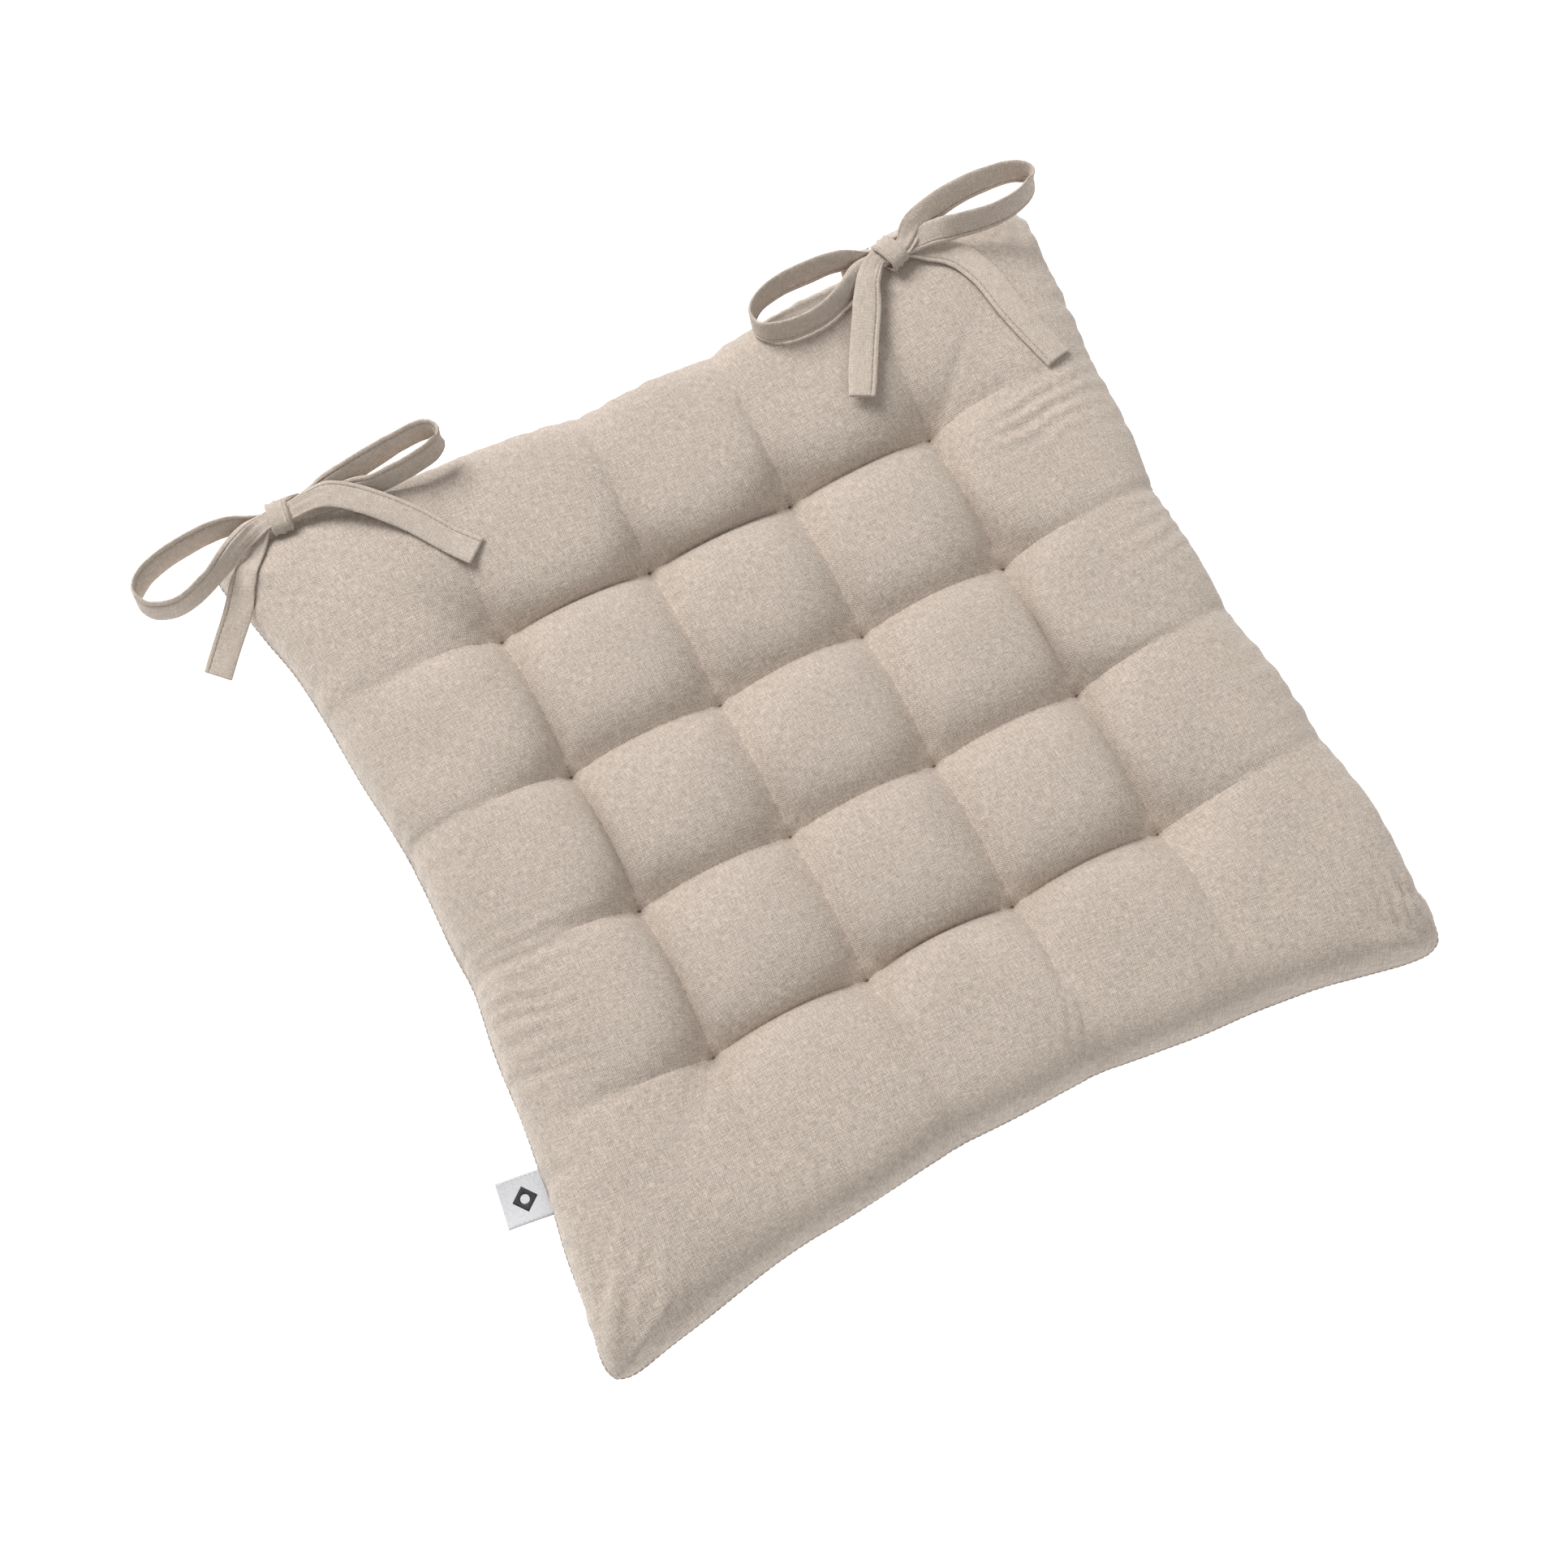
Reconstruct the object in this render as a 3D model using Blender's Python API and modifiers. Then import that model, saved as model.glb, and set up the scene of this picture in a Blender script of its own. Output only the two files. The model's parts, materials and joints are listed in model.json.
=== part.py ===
"""A tufted chair seat pad: two sewn cotton panels over a fibre filling, 16 tufting threads
and two pairs of tape ties in bows. Metres, +Z up. The origin is the middle of the underside,
+Y points to the edge with the ties and +X along that edge."""

import math

import bmesh
import bpy
from mathutils import Vector

# Overall size, corner to corner, and how far the middle of each edge is drawn in.
PAD_WIDTH = 0.400
PAD_DEPTH = 0.400
EDGE_PULL = 0.012
EDGE_SCALLOP = 0.002

# Heights, all from the seam: the seam itself lies this far above the underside.
SEAM_HEIGHT = 0.020
TOP_CREST = 0.028
TOP_VALLEY = 0.015
TOP_PIT = 0.004
BOTTOM_CREST = 0.023
BOTTOM_VALLEY = 0.012
BOTTOM_PIT = 0.004
EDGE_ROUND = 0.032

# Tufts.
TUFT_COUNT = 4
TUFT_PITCH = 0.072
THREAD_DIAMETER = 0.0012
STITCH_LENGTH = 0.0030
NEEDLE_HOLE = 0.0024
FILLING_HOLE = 0.0070

# Cloth, seam and clearances.
CLOTH = 0.0008
SEAM_THREAD_DIAMETER = 0.0010
GAP = 0.0003
FILLING_GAP = 0.0012
FILLING_INSET = 0.0026

# Ties: flat folded tapes, gathered where the knot squeezes them.
TIE_WIDTH = 0.013
TIE_GATHERED = 0.009
TIE_THICKNESS = 0.0012
TIE_REST = 0.0014
TIE_ROOT_SPREAD = 0.0100
TIE_ROOT_BEHIND = 0.004
SWING_CLEARANCE = 0.0006
LEFT_KNOT_FROM_SIDE = 0.030
RIGHT_KNOT_FROM_SIDE = 0.074
LEFT_KNOT_INSIDE = 0.005
RIGHT_KNOT_INSIDE = 0.010
LEFT_KNOT_RISE = 0.026
RIGHT_KNOT_RISE = 0.032
WRAP_LENGTH = 0.009
WRAP_CORNER = 0.0008
TIE_STITCH_DIAMETER = 0.0009
TIE_STITCH_RISE = 0.0055

# Label: a folded tab caught in the left seam, with a plain printed diamond on it.
LABEL_WIDTH = 0.020
LABEL_REACH = 0.020
LABEL_CLOTH = 0.00035
LABEL_Y = -0.123
PRINT_THICKNESS = 0.0003
PRINT_HALF_WIDTH = 0.0055
PRINT_HOLE = 0.0040

# Mesh fineness.
INNER_STEPS = 4
OUTER_STEPS = 4
OUTER_GRADING = 1.85
ROUTE_STEP = 0.0055
NEEDLE_SIDES = 4


# ---------------------------------------------------------------- scene helpers

def clear_scene():
    for obj in list(bpy.data.objects):
        bpy.data.objects.remove(obj, do_unlink=True)


def new_collection(name, hidden=False):
    collection = bpy.data.collections.new(name)
    bpy.context.scene.collection.children.link(collection)
    collection.hide_render = hidden
    return collection


def material(name, colour, roughness):
    made = bpy.data.materials.new(name)
    made.use_nodes = True
    shader = made.node_tree.nodes["Principled BSDF"]
    shader.inputs["Base Color"].default_value = (*colour, 1)
    shader.inputs["Roughness"].default_value = roughness
    made.diffuse_color = (*colour, 1)
    return made


def add_object(name, data, colour, roughness=0.9, smooth=True):
    obj = bpy.data.objects.new(name, data)
    PARTS.objects.link(obj)
    data.materials.append(material(name, colour, roughness))
    if smooth and isinstance(data, bpy.types.Mesh):
        data.shade_smooth()
        data.set_sharp_from_angle(angle=math.radians(50))
    return obj


def mesh_from(name, bm):
    mesh = bpy.data.meshes.new(name)
    bm.to_mesh(mesh)
    bm.free()
    return mesh


def tube(name, points, diameter, colour, cyclic=False, resolution=1):
    """A round thread along points: a POLY curve with a bevel."""
    curve = bpy.data.curves.new(name, "CURVE")
    curve.dimensions = "3D"
    curve.bevel_depth = diameter / 2
    curve.bevel_resolution = resolution
    curve.use_fill_caps = not cyclic
    spline = curve.splines.new("POLY")
    spline.points.add(len(points) - 1)
    for point, place in zip(spline.points, points):
        point.co = (*place, 1)
    spline.use_cyclic_u = cyclic
    return add_object(name, curve, colour)


# ---------------------------------------------------------------- the pad's shape

TUFT_EDGE = (TUFT_COUNT - 1) / 2 * TUFT_PITCH
GRID_STEPS = (TUFT_COUNT - 1) * INNER_STEPS + 2 * OUTER_STEPS


def grid_line(index, half):
    """Where grid line number index lies across the pad, before the edges are drawn in."""
    middle = GRID_STEPS / 2
    side = math.copysign(1, index - middle)
    steps = abs(index - middle)
    inner = middle - OUTER_STEPS
    if steps <= inner:
        return side * steps * TUFT_PITCH / INNER_STEPS
    part = (steps - inner) / OUTER_STEPS
    return side * (TUFT_EDGE + (half - TUFT_EDGE) * (1 - (1 - part) ** OUTER_GRADING))


def swell(place):
    """0 on a line of tufts, 1 halfway between two lines and out to the edge."""
    distance = abs(place)
    if distance > TUFT_EDGE:
        return math.sin(math.pi / 2 * min((distance - TUFT_EDGE) / (TUFT_PITCH / 2), 1))
    phase = (distance + TUFT_EDGE) / TUFT_PITCH
    return abs(math.sin(math.pi * phase))


def edge_round(place, half):
    inward = min((half - abs(place)) / EDGE_ROUND, 1)
    return math.sqrt(max(1 - (1 - inward) ** 2, 0))


def height(x, y, pit, valley, crest):
    """How far a panel stands off the seam's plane at x, y."""
    across, along = swell(x), swell(y)
    ridge = across + along - across * along
    dome = (across * along) ** 0.8
    full = pit + (valley - pit) * ridge + (crest - valley) * dome
    return full * edge_round(x, PAD_WIDTH / 2) * edge_round(y, PAD_DEPTH / 2)


def top_height(x, y):
    return height(x, y, TOP_PIT, TOP_VALLEY, TOP_CREST)


def bottom_height(x, y):
    """The underside is pressed flat where it meets the seat."""
    return min(height(x, y, BOTTOM_PIT, BOTTOM_VALLEY, BOTTOM_CREST), SEAM_HEIGHT)


def draw_in(place, other, half, other_half, inset):
    """A coordinate with the pad's edges drawn in between the corners and at the tuft lines."""
    outward = max(abs(place) - TUFT_EDGE, 0) / (half - TUFT_EDGE)
    blend = outward * outward * (3 - 2 * outward)
    bow = 1 - (abs(other) / other_half) ** 2.5
    scallop = (1 - swell(other)) * EDGE_SCALLOP
    return place - math.copysign(blend * (EDGE_PULL * bow + scallop + inset), place)


def plan(x, y, inset=0.0):
    """Where a point of the flat square ends up, seen from above."""
    half_x, half_y = PAD_WIDTH / 2, PAD_DEPTH / 2
    return draw_in(x, y, half_x, half_y, inset), draw_in(y, x, half_y, half_x, inset)


def back_edge(x):
    """The seam's y on the side of the ties, at x."""
    return plan(x, PAD_DEPTH / 2)[1]


def left_edge(y):
    """The seam's x on the side of the label, at y."""
    return plan(-PAD_WIDTH / 2, y)[0]


def slope(edge, place, reach):
    """How much an edge leans over a length of reach to each side of place."""
    return (edge(place + reach) - edge(place - reach)) / (2 * reach)


def top_surface(x, y):
    """The height of the top panel at a point in plan, close enough to lay something on it."""
    grow_x = (PAD_WIDTH / 2) / plan(PAD_WIDTH / 2, y)[0]
    grow_y = (PAD_DEPTH / 2) / plan(x, PAD_DEPTH / 2)[1]
    x = x * (1 + (grow_x - 1) * min(abs(x) / (PAD_WIDTH / 2), 1))
    y = y * (1 + (grow_y - 1) * min(abs(y) / (PAD_DEPTH / 2), 1))
    if abs(x) >= PAD_WIDTH / 2 or abs(y) >= PAD_DEPTH / 2:
        return None
    return SEAM_HEIGHT + top_height(x, y)


def tuft_places():
    """(name, x, y) of each tuft, from the back left one."""
    for row in range(TUFT_COUNT):
        for column in range(TUFT_COUNT):
            x = (column - (TUFT_COUNT - 1) / 2) * TUFT_PITCH
            y = ((TUFT_COUNT - 1) / 2 - row) * TUFT_PITCH
            yield f"tuft_thread_{row + 1}{column + 1}", x, y


def panel(lift, inset=0.0):
    """A square grid shaped by lift(x, y), which gives each vertex its z."""
    bm = bmesh.new()
    bmesh.ops.create_grid(bm, x_segments=GRID_STEPS, y_segments=GRID_STEPS, size=1)
    bmesh.ops.triangulate(bm, faces=bm.faces, quad_method="FIXED")
    for vert in bm.verts:
        x = grid_line(round((vert.co.x + 1) / 2 * GRID_STEPS), PAD_WIDTH / 2)
        y = grid_line(round((vert.co.y + 1) / 2 * GRID_STEPS), PAD_DEPTH / 2)
        vert.co = (*plan(x, y, inset), lift(x, y))
    return bm


def needle_cutter(name, offsets, diameter):
    """One cutter for every hole that the tufting needle leaves."""
    bm = bmesh.new()
    for _, x, y in tuft_places():
        for offset in offsets:
            made = bmesh.ops.create_cone(bm, cap_ends=True, segments=NEEDLE_SIDES, radius1=diameter / 2,
                                         radius2=diameter / 2, depth=4 * SEAM_HEIGHT)
            bmesh.ops.translate(bm, verts=made["verts"], vec=(x + offset, y, SEAM_HEIGHT))
    cutter = bpy.data.objects.new(name, mesh_from(name, bm))
    CUTTERS.objects.link(cutter)
    cutter.hide_render = True
    cutter.display_type = "WIRE"
    return cutter


def seam_cutter():
    """A thin slab at the seam's height, which leaves the thread its room between the rims."""
    bpy.ops.mesh.primitive_cube_add(size=1, location=(0, 0, SEAM_HEIGHT))
    slab = bpy.context.object
    slab.name = "seam_cutter"
    slab.scale = (1.2 * PAD_WIDTH, 1.2 * PAD_DEPTH, SEAM_THREAD_DIAMETER + 2 * GAP)
    for collection in list(slab.users_collection):
        collection.objects.unlink(slab)
    CUTTERS.objects.link(slab)
    slab.hide_render = True
    slab.display_type = "WIRE"
    return slab


def cut(obj, cutter):
    holes = obj.modifiers.new(cutter.name, "BOOLEAN")
    holes.operation = "DIFFERENCE"
    holes.object = cutter


def cover(name, lift, flip, cutters):
    """A panel of cloth: an open surface given its thickness inwards."""
    bm = panel(lift)
    if flip:
        bmesh.ops.reverse_faces(bm, faces=bm.faces)
    obj = add_object(name, mesh_from(name, bm), LINEN)
    shell = obj.modifiers.new("cloth", "SOLIDIFY")
    shell.thickness = CLOTH
    shell.offset = -1
    shell.use_even_offset = True
    for cutter in cutters:
        cut(obj, cutter)


def build_covers():
    needles = needle_cutter("needle_cutter", (-STITCH_LENGTH / 2, STITCH_LENGTH / 2), NEEDLE_HOLE)
    cutters = (needles, seam_cutter())
    rim = SEAM_THREAD_DIAMETER / 2
    cover("top_cover", lambda x, y: SEAM_HEIGHT + max(top_height(x, y), rim), False, cutters)
    cover("bottom_cover", lambda x, y: SEAM_HEIGHT - max(bottom_height(x, y), rim), True, cutters)


def build_filling():
    inside = CLOTH + FILLING_GAP
    least = 2 * GAP

    def above(x, y):
        return SEAM_HEIGHT + max(top_height(x, y) - inside, least)

    def below(x, y):
        return SEAM_HEIGHT - max(bottom_height(x, y) - inside, least)

    bm = panel(above, FILLING_INSET)
    under = panel(below, FILLING_INSET)
    bmesh.ops.reverse_faces(under, faces=under.faces)
    lower = mesh_from("filling_lower", under)
    bm.from_mesh(lower)
    bpy.data.meshes.remove(lower)
    rims = [edge for edge in bm.edges if edge.is_boundary]
    bmesh.ops.bridge_loops(bm, edges=rims)
    bmesh.ops.recalc_face_normals(bm, faces=bm.faces)
    obj = add_object("filling", mesh_from("filling", bm), FIBRE)
    cut(obj, needle_cutter("filling_cutter", (0,), FILLING_HOLE))


def build_seam_thread():
    """The line of stitching round the whole edge, between the two panels' rims."""
    half_x, half_y = PAD_WIDTH / 2, PAD_DEPTH / 2
    xs = [grid_line(i, half_x) for i in range(GRID_STEPS)]
    ys = [grid_line(i, half_y) for i in range(GRID_STEPS)]
    ring = [(x, -half_y) for x in xs] + [(half_x, y) for y in ys]
    ring += [(-x, half_y) for x in xs] + [(-half_x, -y) for y in ys]
    points = [(*plan(x, y, CLOTH / 2), SEAM_HEIGHT) for x, y in ring]
    tube("seam_thread", points, SEAM_THREAD_DIAMETER, THREAD, cyclic=True)


def build_tuft_threads():
    """Each tuft is a loop of thread, down through one needle hole and up through the other."""
    reach = THREAD_DIAMETER / 2 + 2 * GAP
    high = SEAM_HEIGHT + TOP_PIT + reach
    low = SEAM_HEIGHT - BOTTOM_PIT - reach
    half = STITCH_LENGTH / 2
    soften = THREAD_DIAMETER / 2
    for name, x, y in tuft_places():
        loop = [(-half, low + soften), (-half, high - soften), (-half + soften, high),
                (half - soften, high), (half, high - soften), (half, low + soften),
                (half - soften, low), (-half + soften, low)]
        tube(name, [(x + dx, y, z) for dx, z in loop], THREAD_DIAMETER, THREAD, cyclic=True)


# ---------------------------------------------------------------- ties

# Inside the turn of tape that makes the knot lie three layers of tape, the first of them sewn
# by its own fold to that turn. Heights are from the knot's middle.
LAYER = TIE_THICKNESS + GAP
FOLD_OVERLAP = 0.0001
WRAP_INNER = 3 * LAYER - FOLD_OVERLAP
WRAP_HALF_HEIGHT = (WRAP_INNER + TIE_THICKNESS) / 2
WRAP_HALF_WIDTH = TIE_GATHERED / 2 + 2 * GAP + WRAP_CORNER / 2 + TIE_THICKNESS / 2
FOLDED = -(WRAP_INNER - TIE_THICKNESS) / 2 - FOLD_OVERLAP
MIDDLE = FOLDED + LAYER
OUTER = MIDDLE + LAYER

# Routes of the tapes in millimetres from the knot: x, y, z, the direction across the tape
# there, and the tape's width there. G is gathered, W is full width.
G = TIE_GATHERED * 1000
W = TIE_WIDTH * 1000
F, M, T = FOLDED * 1000, MIDDLE * 1000, OUTER * 1000

LEFT_BOW_LEFT_LOOP = [
    (-23, 7, -1, 0.0, 0.3, 0.95, 12), (-35, 6, 2, 0, 0.3, 0.95, W), (-52, 4, 2, 0, 0.3, 0.95, W),
    (-64, 0, 1, 0, 0.3, 0.95, W), (-70, -7, 0, 0.1, 0.3, 0.95, W), (-66, -15, -1, 0, 0.3, 0.95, W),
    (-54, -18, -1, 0, 0.25, 0.95, W), (-38, -13, 0, 0, 0.3, 0.95, W),
    (-20, -4, 2, 0, 0.8, 0.6, 10), (-7, 0, T, 0, 1, 0, G), (0, 0, T, 0, 1, 0, G),
    (7, 0, T, 0, 1, 0, G), (15, -1, 5, 0.1, 1, 0.1, 10), (24, -4, 8, 0.2, 1, 0.1, 12),
    (36, -13, 7, 0.4, 0.9, 0, W), (50, -27, 3, 0.6, 0.8, 0, W), (61, -42, 0, 0.75, 0.65, 0, W),
    (70, -54, 0, 0.75, 0.65, 0, W)]
LEFT_BOW_RIGHT_LOOP = [
    (-3, 0, F, 0, 1, 0, G), (7, 0, F, 0, 1, 0, G), (20, -1, -2, 0, 0.9, 0.4, 10),
    (33, -3, 1, 0, 0.5, 0.85, 12), (46, -5, 5, 0, 0.3, 0.95, W), (60, -4, 9, 0, 0.3, 0.95, W),
    (72, 0, 12, 0, 0.3, 0.95, W), (76, 7, 14, 0, 0.3, 0.95, W), (70, 14, 14, 0, 0.3, 0.95, W),
    (58, 16, 12, 0, 0.3, 0.95, W), (44, 13, 8, 0, 0.4, 0.9, W), (28, 7, 3, 0, 0.6, 0.8, 12),
    (17, 3, 0, 0, 0.95, 0.3, 10), (7, 0, M, 0, 1, 0, G), (0, 0, M, 0, 1, 0, G),
    (-7, 0, M, 0, 1, 0, G), (-17, -8, -4, -0.5, 0.85, 0.1, 11), (-27, -20, -8, -0.8, 0.6, 0, W),
    (-38, -33, -12, -0.75, 0.65, 0, W), (-49, -44, -18, -0.7, 0.7, 0, W),
    (-58, -53, -22, -0.7, 0.7, 0, W)]
RIGHT_BOW_LEFT_LOOP = [
    (-23, 9, 0, 0, 0.4, 0.9, 12), (-36, 12, 1, 0, 0.4, 0.9, W), (-52, 13, 1, 0, 0.35, 0.95, W),
    (-63, 10, 0, 0, 0.3, 0.95, W), (-68, 3, -1, 0, 0.3, 0.95, W), (-65, -6, -2, 0, 0.3, 0.95, W),
    (-55, -11, -2, 0, 0.3, 0.95, W), (-40, -11, -1, 0, 0.4, 0.9, W), (-26, -7, 0, 0, 0.6, 0.8, 12),
    (-16, -2, -1, 0, 0.9, 0.3, 10), (-7, 0, -T, 0, 1, 0, G), (0, 0, -T, 0, 1, 0, G),
    (7, 0, -T, 0, 1, 0, G), (18, -6, -3, 0.4, 0.9, 0, 11), (28, -14, -3, 0.8, 0.6, 0, W),
    (34, -28, -3, 1, 0.2, 0, W), (37, -48, -3, 1, 0.1, 0, W), (41, -66, -5, 1, 0.15, 0, W),
    (44, -78, -8, 1, 0.2, 0, W)]
RIGHT_BOW_RIGHT_LOOP = [
    (-3, 0, -F, 0, 1, 0, G), (7, 0, -F, 0, 1, 0, G), (15, 6, 6, -0.4, 0.8, 0.5, 11),
    (28, 10, 11, -0.2, 0.6, 0.8, W), (42, 12, 14, 0, 0.4, 0.9, W), (56, 13, 15, 0, 0.3, 0.95, W),
    (66, 9, 15, 0, 0.3, 0.95, W), (70, 2, 14, 0, 0.3, 0.95, W), (64, -4, 12, 0, 0.3, 0.95, W),
    (50, -6, 9, 0, 0.4, 0.9, W), (34, -4, 7, 0, 0.5, 0.85, W), (19, -1, 4, 0, 0.9, 0.4, 11),
    (7, 0, -M, 0, 1, 0, G), (0, 0, -M, 0, 1, 0, G), (-7, 0, -M, 0, 1, 0, G),
    (-15, -8, 2, -0.9, 0.5, 0, 11), (-22, -20, 1, -0.9, 0.4, 0, W), (-31, -34, 0, -0.9, 0.45, 0, W),
    (-38, -44, 0, -0.9, 0.45, 0, W), (-43, -52, 0, -0.9, 0.45, 0, W)]


def smooth_route(keys):
    """(place, direction across, width) read off a Catmull-Rom curve through the keys."""
    places = [Vector(key[0:3]) / 1000 for key in keys]
    across = [Vector(key[3:6]).normalized() for key in keys]
    widths = [key[6] / 1000 for key in keys]
    last = len(keys) - 1
    route = []
    for k in range(last):
        p0, p1 = places[max(k - 1, 0)], places[k]
        p2, p3 = places[k + 1], places[min(k + 2, last)]
        steps = max(1, round((p2 - p1).length / ROUTE_STEP))
        for t in (step / steps for step in range(steps)):
            place = (2 * p1 + (p2 - p0) * t + (2 * p0 - 5 * p1 + 4 * p2 - p3) * t ** 2
                     + (3 * p1 - p0 - 3 * p2 + p3) * t ** 3) / 2
            width = widths[k] + (widths[k + 1] - widths[k]) * t
            route.append((place, across[k].lerp(across[k + 1], t).normalized(), width))
    route.append((places[last], across[last], widths[last]))
    return route


def lay_on_pad(point):
    """The point, lifted if it would lie in the top panel."""
    under = top_surface(point.x, point.y)
    if under is not None and point.z < under + TIE_REST:
        point.z = under + TIE_REST
    return point


def tape(name, knot, keys):
    """A flat tape as an open strip along the route, given its thickness; a closed mesh."""
    bm = bmesh.new()
    previous = None
    for place, across, width in smooth_route(keys):
        ends = [lay_on_pad(knot + place + across * width / 2 * side) for side in (-1, 1)]
        verts = [bm.verts.new(end) for end in ends]
        if previous:
            bm.faces.new((previous[0], previous[1], verts[1], verts[0]))
        previous = verts
    return thickened(name, bm, TIE_THICKNESS)


def knot_turn(name, knot):
    """The turn of tape round the gathered layers: a closed band about the X axis."""
    half_y, half_z, corner = WRAP_HALF_WIDTH, WRAP_HALF_HEIGHT, WRAP_CORNER
    quarter = [(half_y, half_z - corner), (half_y - corner, half_z)]
    outline = quarter + [(-y, z) for y, z in quarter[::-1]]
    outline += [(-y, -z) for y, z in outline]
    bm = bmesh.new()
    rows = []
    for y, z in outline:
        rows.append([bm.verts.new(knot + Vector((side * WRAP_LENGTH / 2, y, z)))
                     for side in (-1, 1)])
    for one, other in zip(rows, rows[1:] + rows[:1]):
        bm.faces.new((one[0], one[1], other[1], other[0]))
    return thickened(name, bm, TIE_THICKNESS)


def thickened(name, bm, thickness):
    """A mesh with the sheet's thickness, half to each side."""
    bmesh.ops.recalc_face_normals(bm, faces=bm.faces)
    sheet = bpy.data.objects.new(name, mesh_from(name, bm))
    CUTTERS.objects.link(sheet)
    shell = sheet.modifiers.new("cloth", "SOLIDIFY")
    shell.thickness = thickness
    shell.offset = 0
    shell.use_even_offset = True
    bpy.context.view_layer.update()
    graph = bpy.context.evaluated_depsgraph_get()
    mesh = bpy.data.meshes.new_from_object(sheet.evaluated_get(graph))
    bpy.data.objects.remove(sheet)
    mesh.name = name
    return mesh


def root_keys(knot, side):
    """The sewn end of a tape: out of the seam and up behind the pad's edge, to the knot."""
    x = side * TIE_ROOT_SPREAD
    lean = slope(back_edge, knot.x + x, TIE_WIDTH / 2)
    edge = back_edge(knot.x + x) + SEAM_THREAD_DIAMETER / 2 + SWING_CLEARANCE - knot.y
    behind = edge + TIE_ROOT_BEHIND
    drop = SEAM_HEIGHT - knot.z
    x, edge, behind, drop = x * 1000, edge * 1000, behind * 1000, drop * 1000
    return [(x, edge, drop, 1, lean, 0, W), (x, behind, drop + 3, 1, lean, 0, W),
            (x, behind, drop + 11, 1, lean, 0, W)]


def tie_through_knot(name, knot, loop):
    """The tie on the outer side: up from the seam, round its loop, through the knot, and out."""
    turn = [(-13, 9, -7, 0.7, 0, 0.7, 11)]
    add_object(name, tape(name, knot, root_keys(knot, -1) + turn + loop), LINEN)


def tie_round_knot(name, knot, loop):
    """The other tie: up from the seam, once round the knot, then its own loop and tail."""
    back = WRAP_HALF_WIDTH * 1000
    turn = [(8, back + 1.5, -6, 0.8, 0, 0.6, 10), (1, back, -1, 0.1, 0, 1, 6)]
    obj = add_object(name, tape(name, knot, loop), LINEN)
    for part_name, mesh in ((f"{name}_turn", knot_turn(name, knot)),
                            (f"{name}_root", tape(name, knot, root_keys(knot, 1) + turn))):
        part = bpy.data.objects.new(part_name, mesh)
        CUTTERS.objects.link(part)
        part.hide_render = True
        part.display_type = "WIRE"
        join = obj.modifiers.new(part_name, "BOOLEAN")
        join.operation = "UNION"
        join.object = part


def tie_stitching(name, knot):
    """The bar of stitches across the two tapes, just above the seam."""
    reach = TIE_ROOT_SPREAD + TIE_WIDTH / 2
    behind = (SEAM_THREAD_DIAMETER / 2 + SWING_CLEARANCE + TIE_ROOT_BEHIND
              + TIE_THICKNESS / 2 + TIE_STITCH_DIAMETER / 2 + 2 * GAP)
    lean = slope(back_edge, knot.x, reach)
    middle = back_edge(knot.x) + behind
    ends = [(knot.x + side * reach, middle + side * reach * lean, SEAM_HEIGHT + TIE_STITCH_RISE)
            for side in (-1, 1)]
    tube(name, ends, TIE_STITCH_DIAMETER, THREAD)


def build_bow(side, x, inside, rise, left_loop, right_loop):
    knot = Vector((x, back_edge(x) - inside, SEAM_HEIGHT + rise))
    tie_through_knot(f"{side}_bow_outer_tie", knot, left_loop)
    tie_round_knot(f"{side}_bow_knot_tie", knot, right_loop)
    tie_stitching(f"{side}_tie_stitching", knot)


# ---------------------------------------------------------------- label

def build_label():
    """A strip folded in half, its two ends caught in the seam, with a diamond printed on it."""
    hinge = bpy.data.objects.new("label_hinge", None)
    PARTS.objects.link(hinge)
    seam = left_edge(LABEL_Y) - SEAM_THREAD_DIAMETER / 2 - SWING_CLEARANCE
    hinge.location = (seam, LABEL_Y, SEAM_HEIGHT)
    hinge.rotation_euler.z = -math.atan(slope(left_edge, LABEL_Y, LABEL_WIDTH / 2))
    half_gap = (LABEL_CLOTH + GAP) / 2
    profile = [(0, half_gap), (half_gap - LABEL_REACH, half_gap), (-LABEL_REACH, 0),
               (half_gap - LABEL_REACH, -half_gap), (0, -half_gap)]
    bm = bmesh.new()
    previous = None
    for x, z in profile:
        verts = [bm.verts.new((x, side * LABEL_WIDTH / 2, z)) for side in (-1, 1)]
        if previous:
            bm.faces.new((previous[0], previous[1], verts[1], verts[0]))
        previous = verts
    tab = add_object("label_tab", thickened("label_tab", bm, LABEL_CLOTH), WHITE, 0.6)
    tab.parent = hinge
    top = half_gap + LABEL_CLOTH / 2 + GAP
    build_print(hinge, Vector((-LABEL_REACH / 2, 0, top + PRINT_THICKNESS / 2)))


def build_print(hinge, middle):
    """A diamond with a round hole, as a flat filled curve."""
    curve = bpy.data.curves.new("label_print", "CURVE")
    curve.dimensions = "2D"
    curve.fill_mode = "BOTH"
    curve.extrude = PRINT_THICKNESS / 2
    for radius, corners in ((PRINT_HALF_WIDTH, 4), (PRINT_HOLE / 2, 12)):
        spline = curve.splines.new("POLY")
        spline.points.add(corners - 1)
        for k, point in enumerate(spline.points):
            turn = 2 * math.pi * k / corners
            point.co = (radius * math.cos(turn), radius * math.sin(turn), 0, 1)
        spline.use_cyclic_u = True
    obj = add_object("label_print", curve, INK, 0.7)
    obj.location = middle
    obj.parent = hinge


PARTS = CUTTERS = None
LINEN = (0.60, 0.52, 0.45)
THREAD = (0.52, 0.44, 0.37)
FIBRE = (0.90, 0.90, 0.88)
WHITE = (0.92, 0.92, 0.92)
INK = (0.02, 0.02, 0.02)


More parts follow.
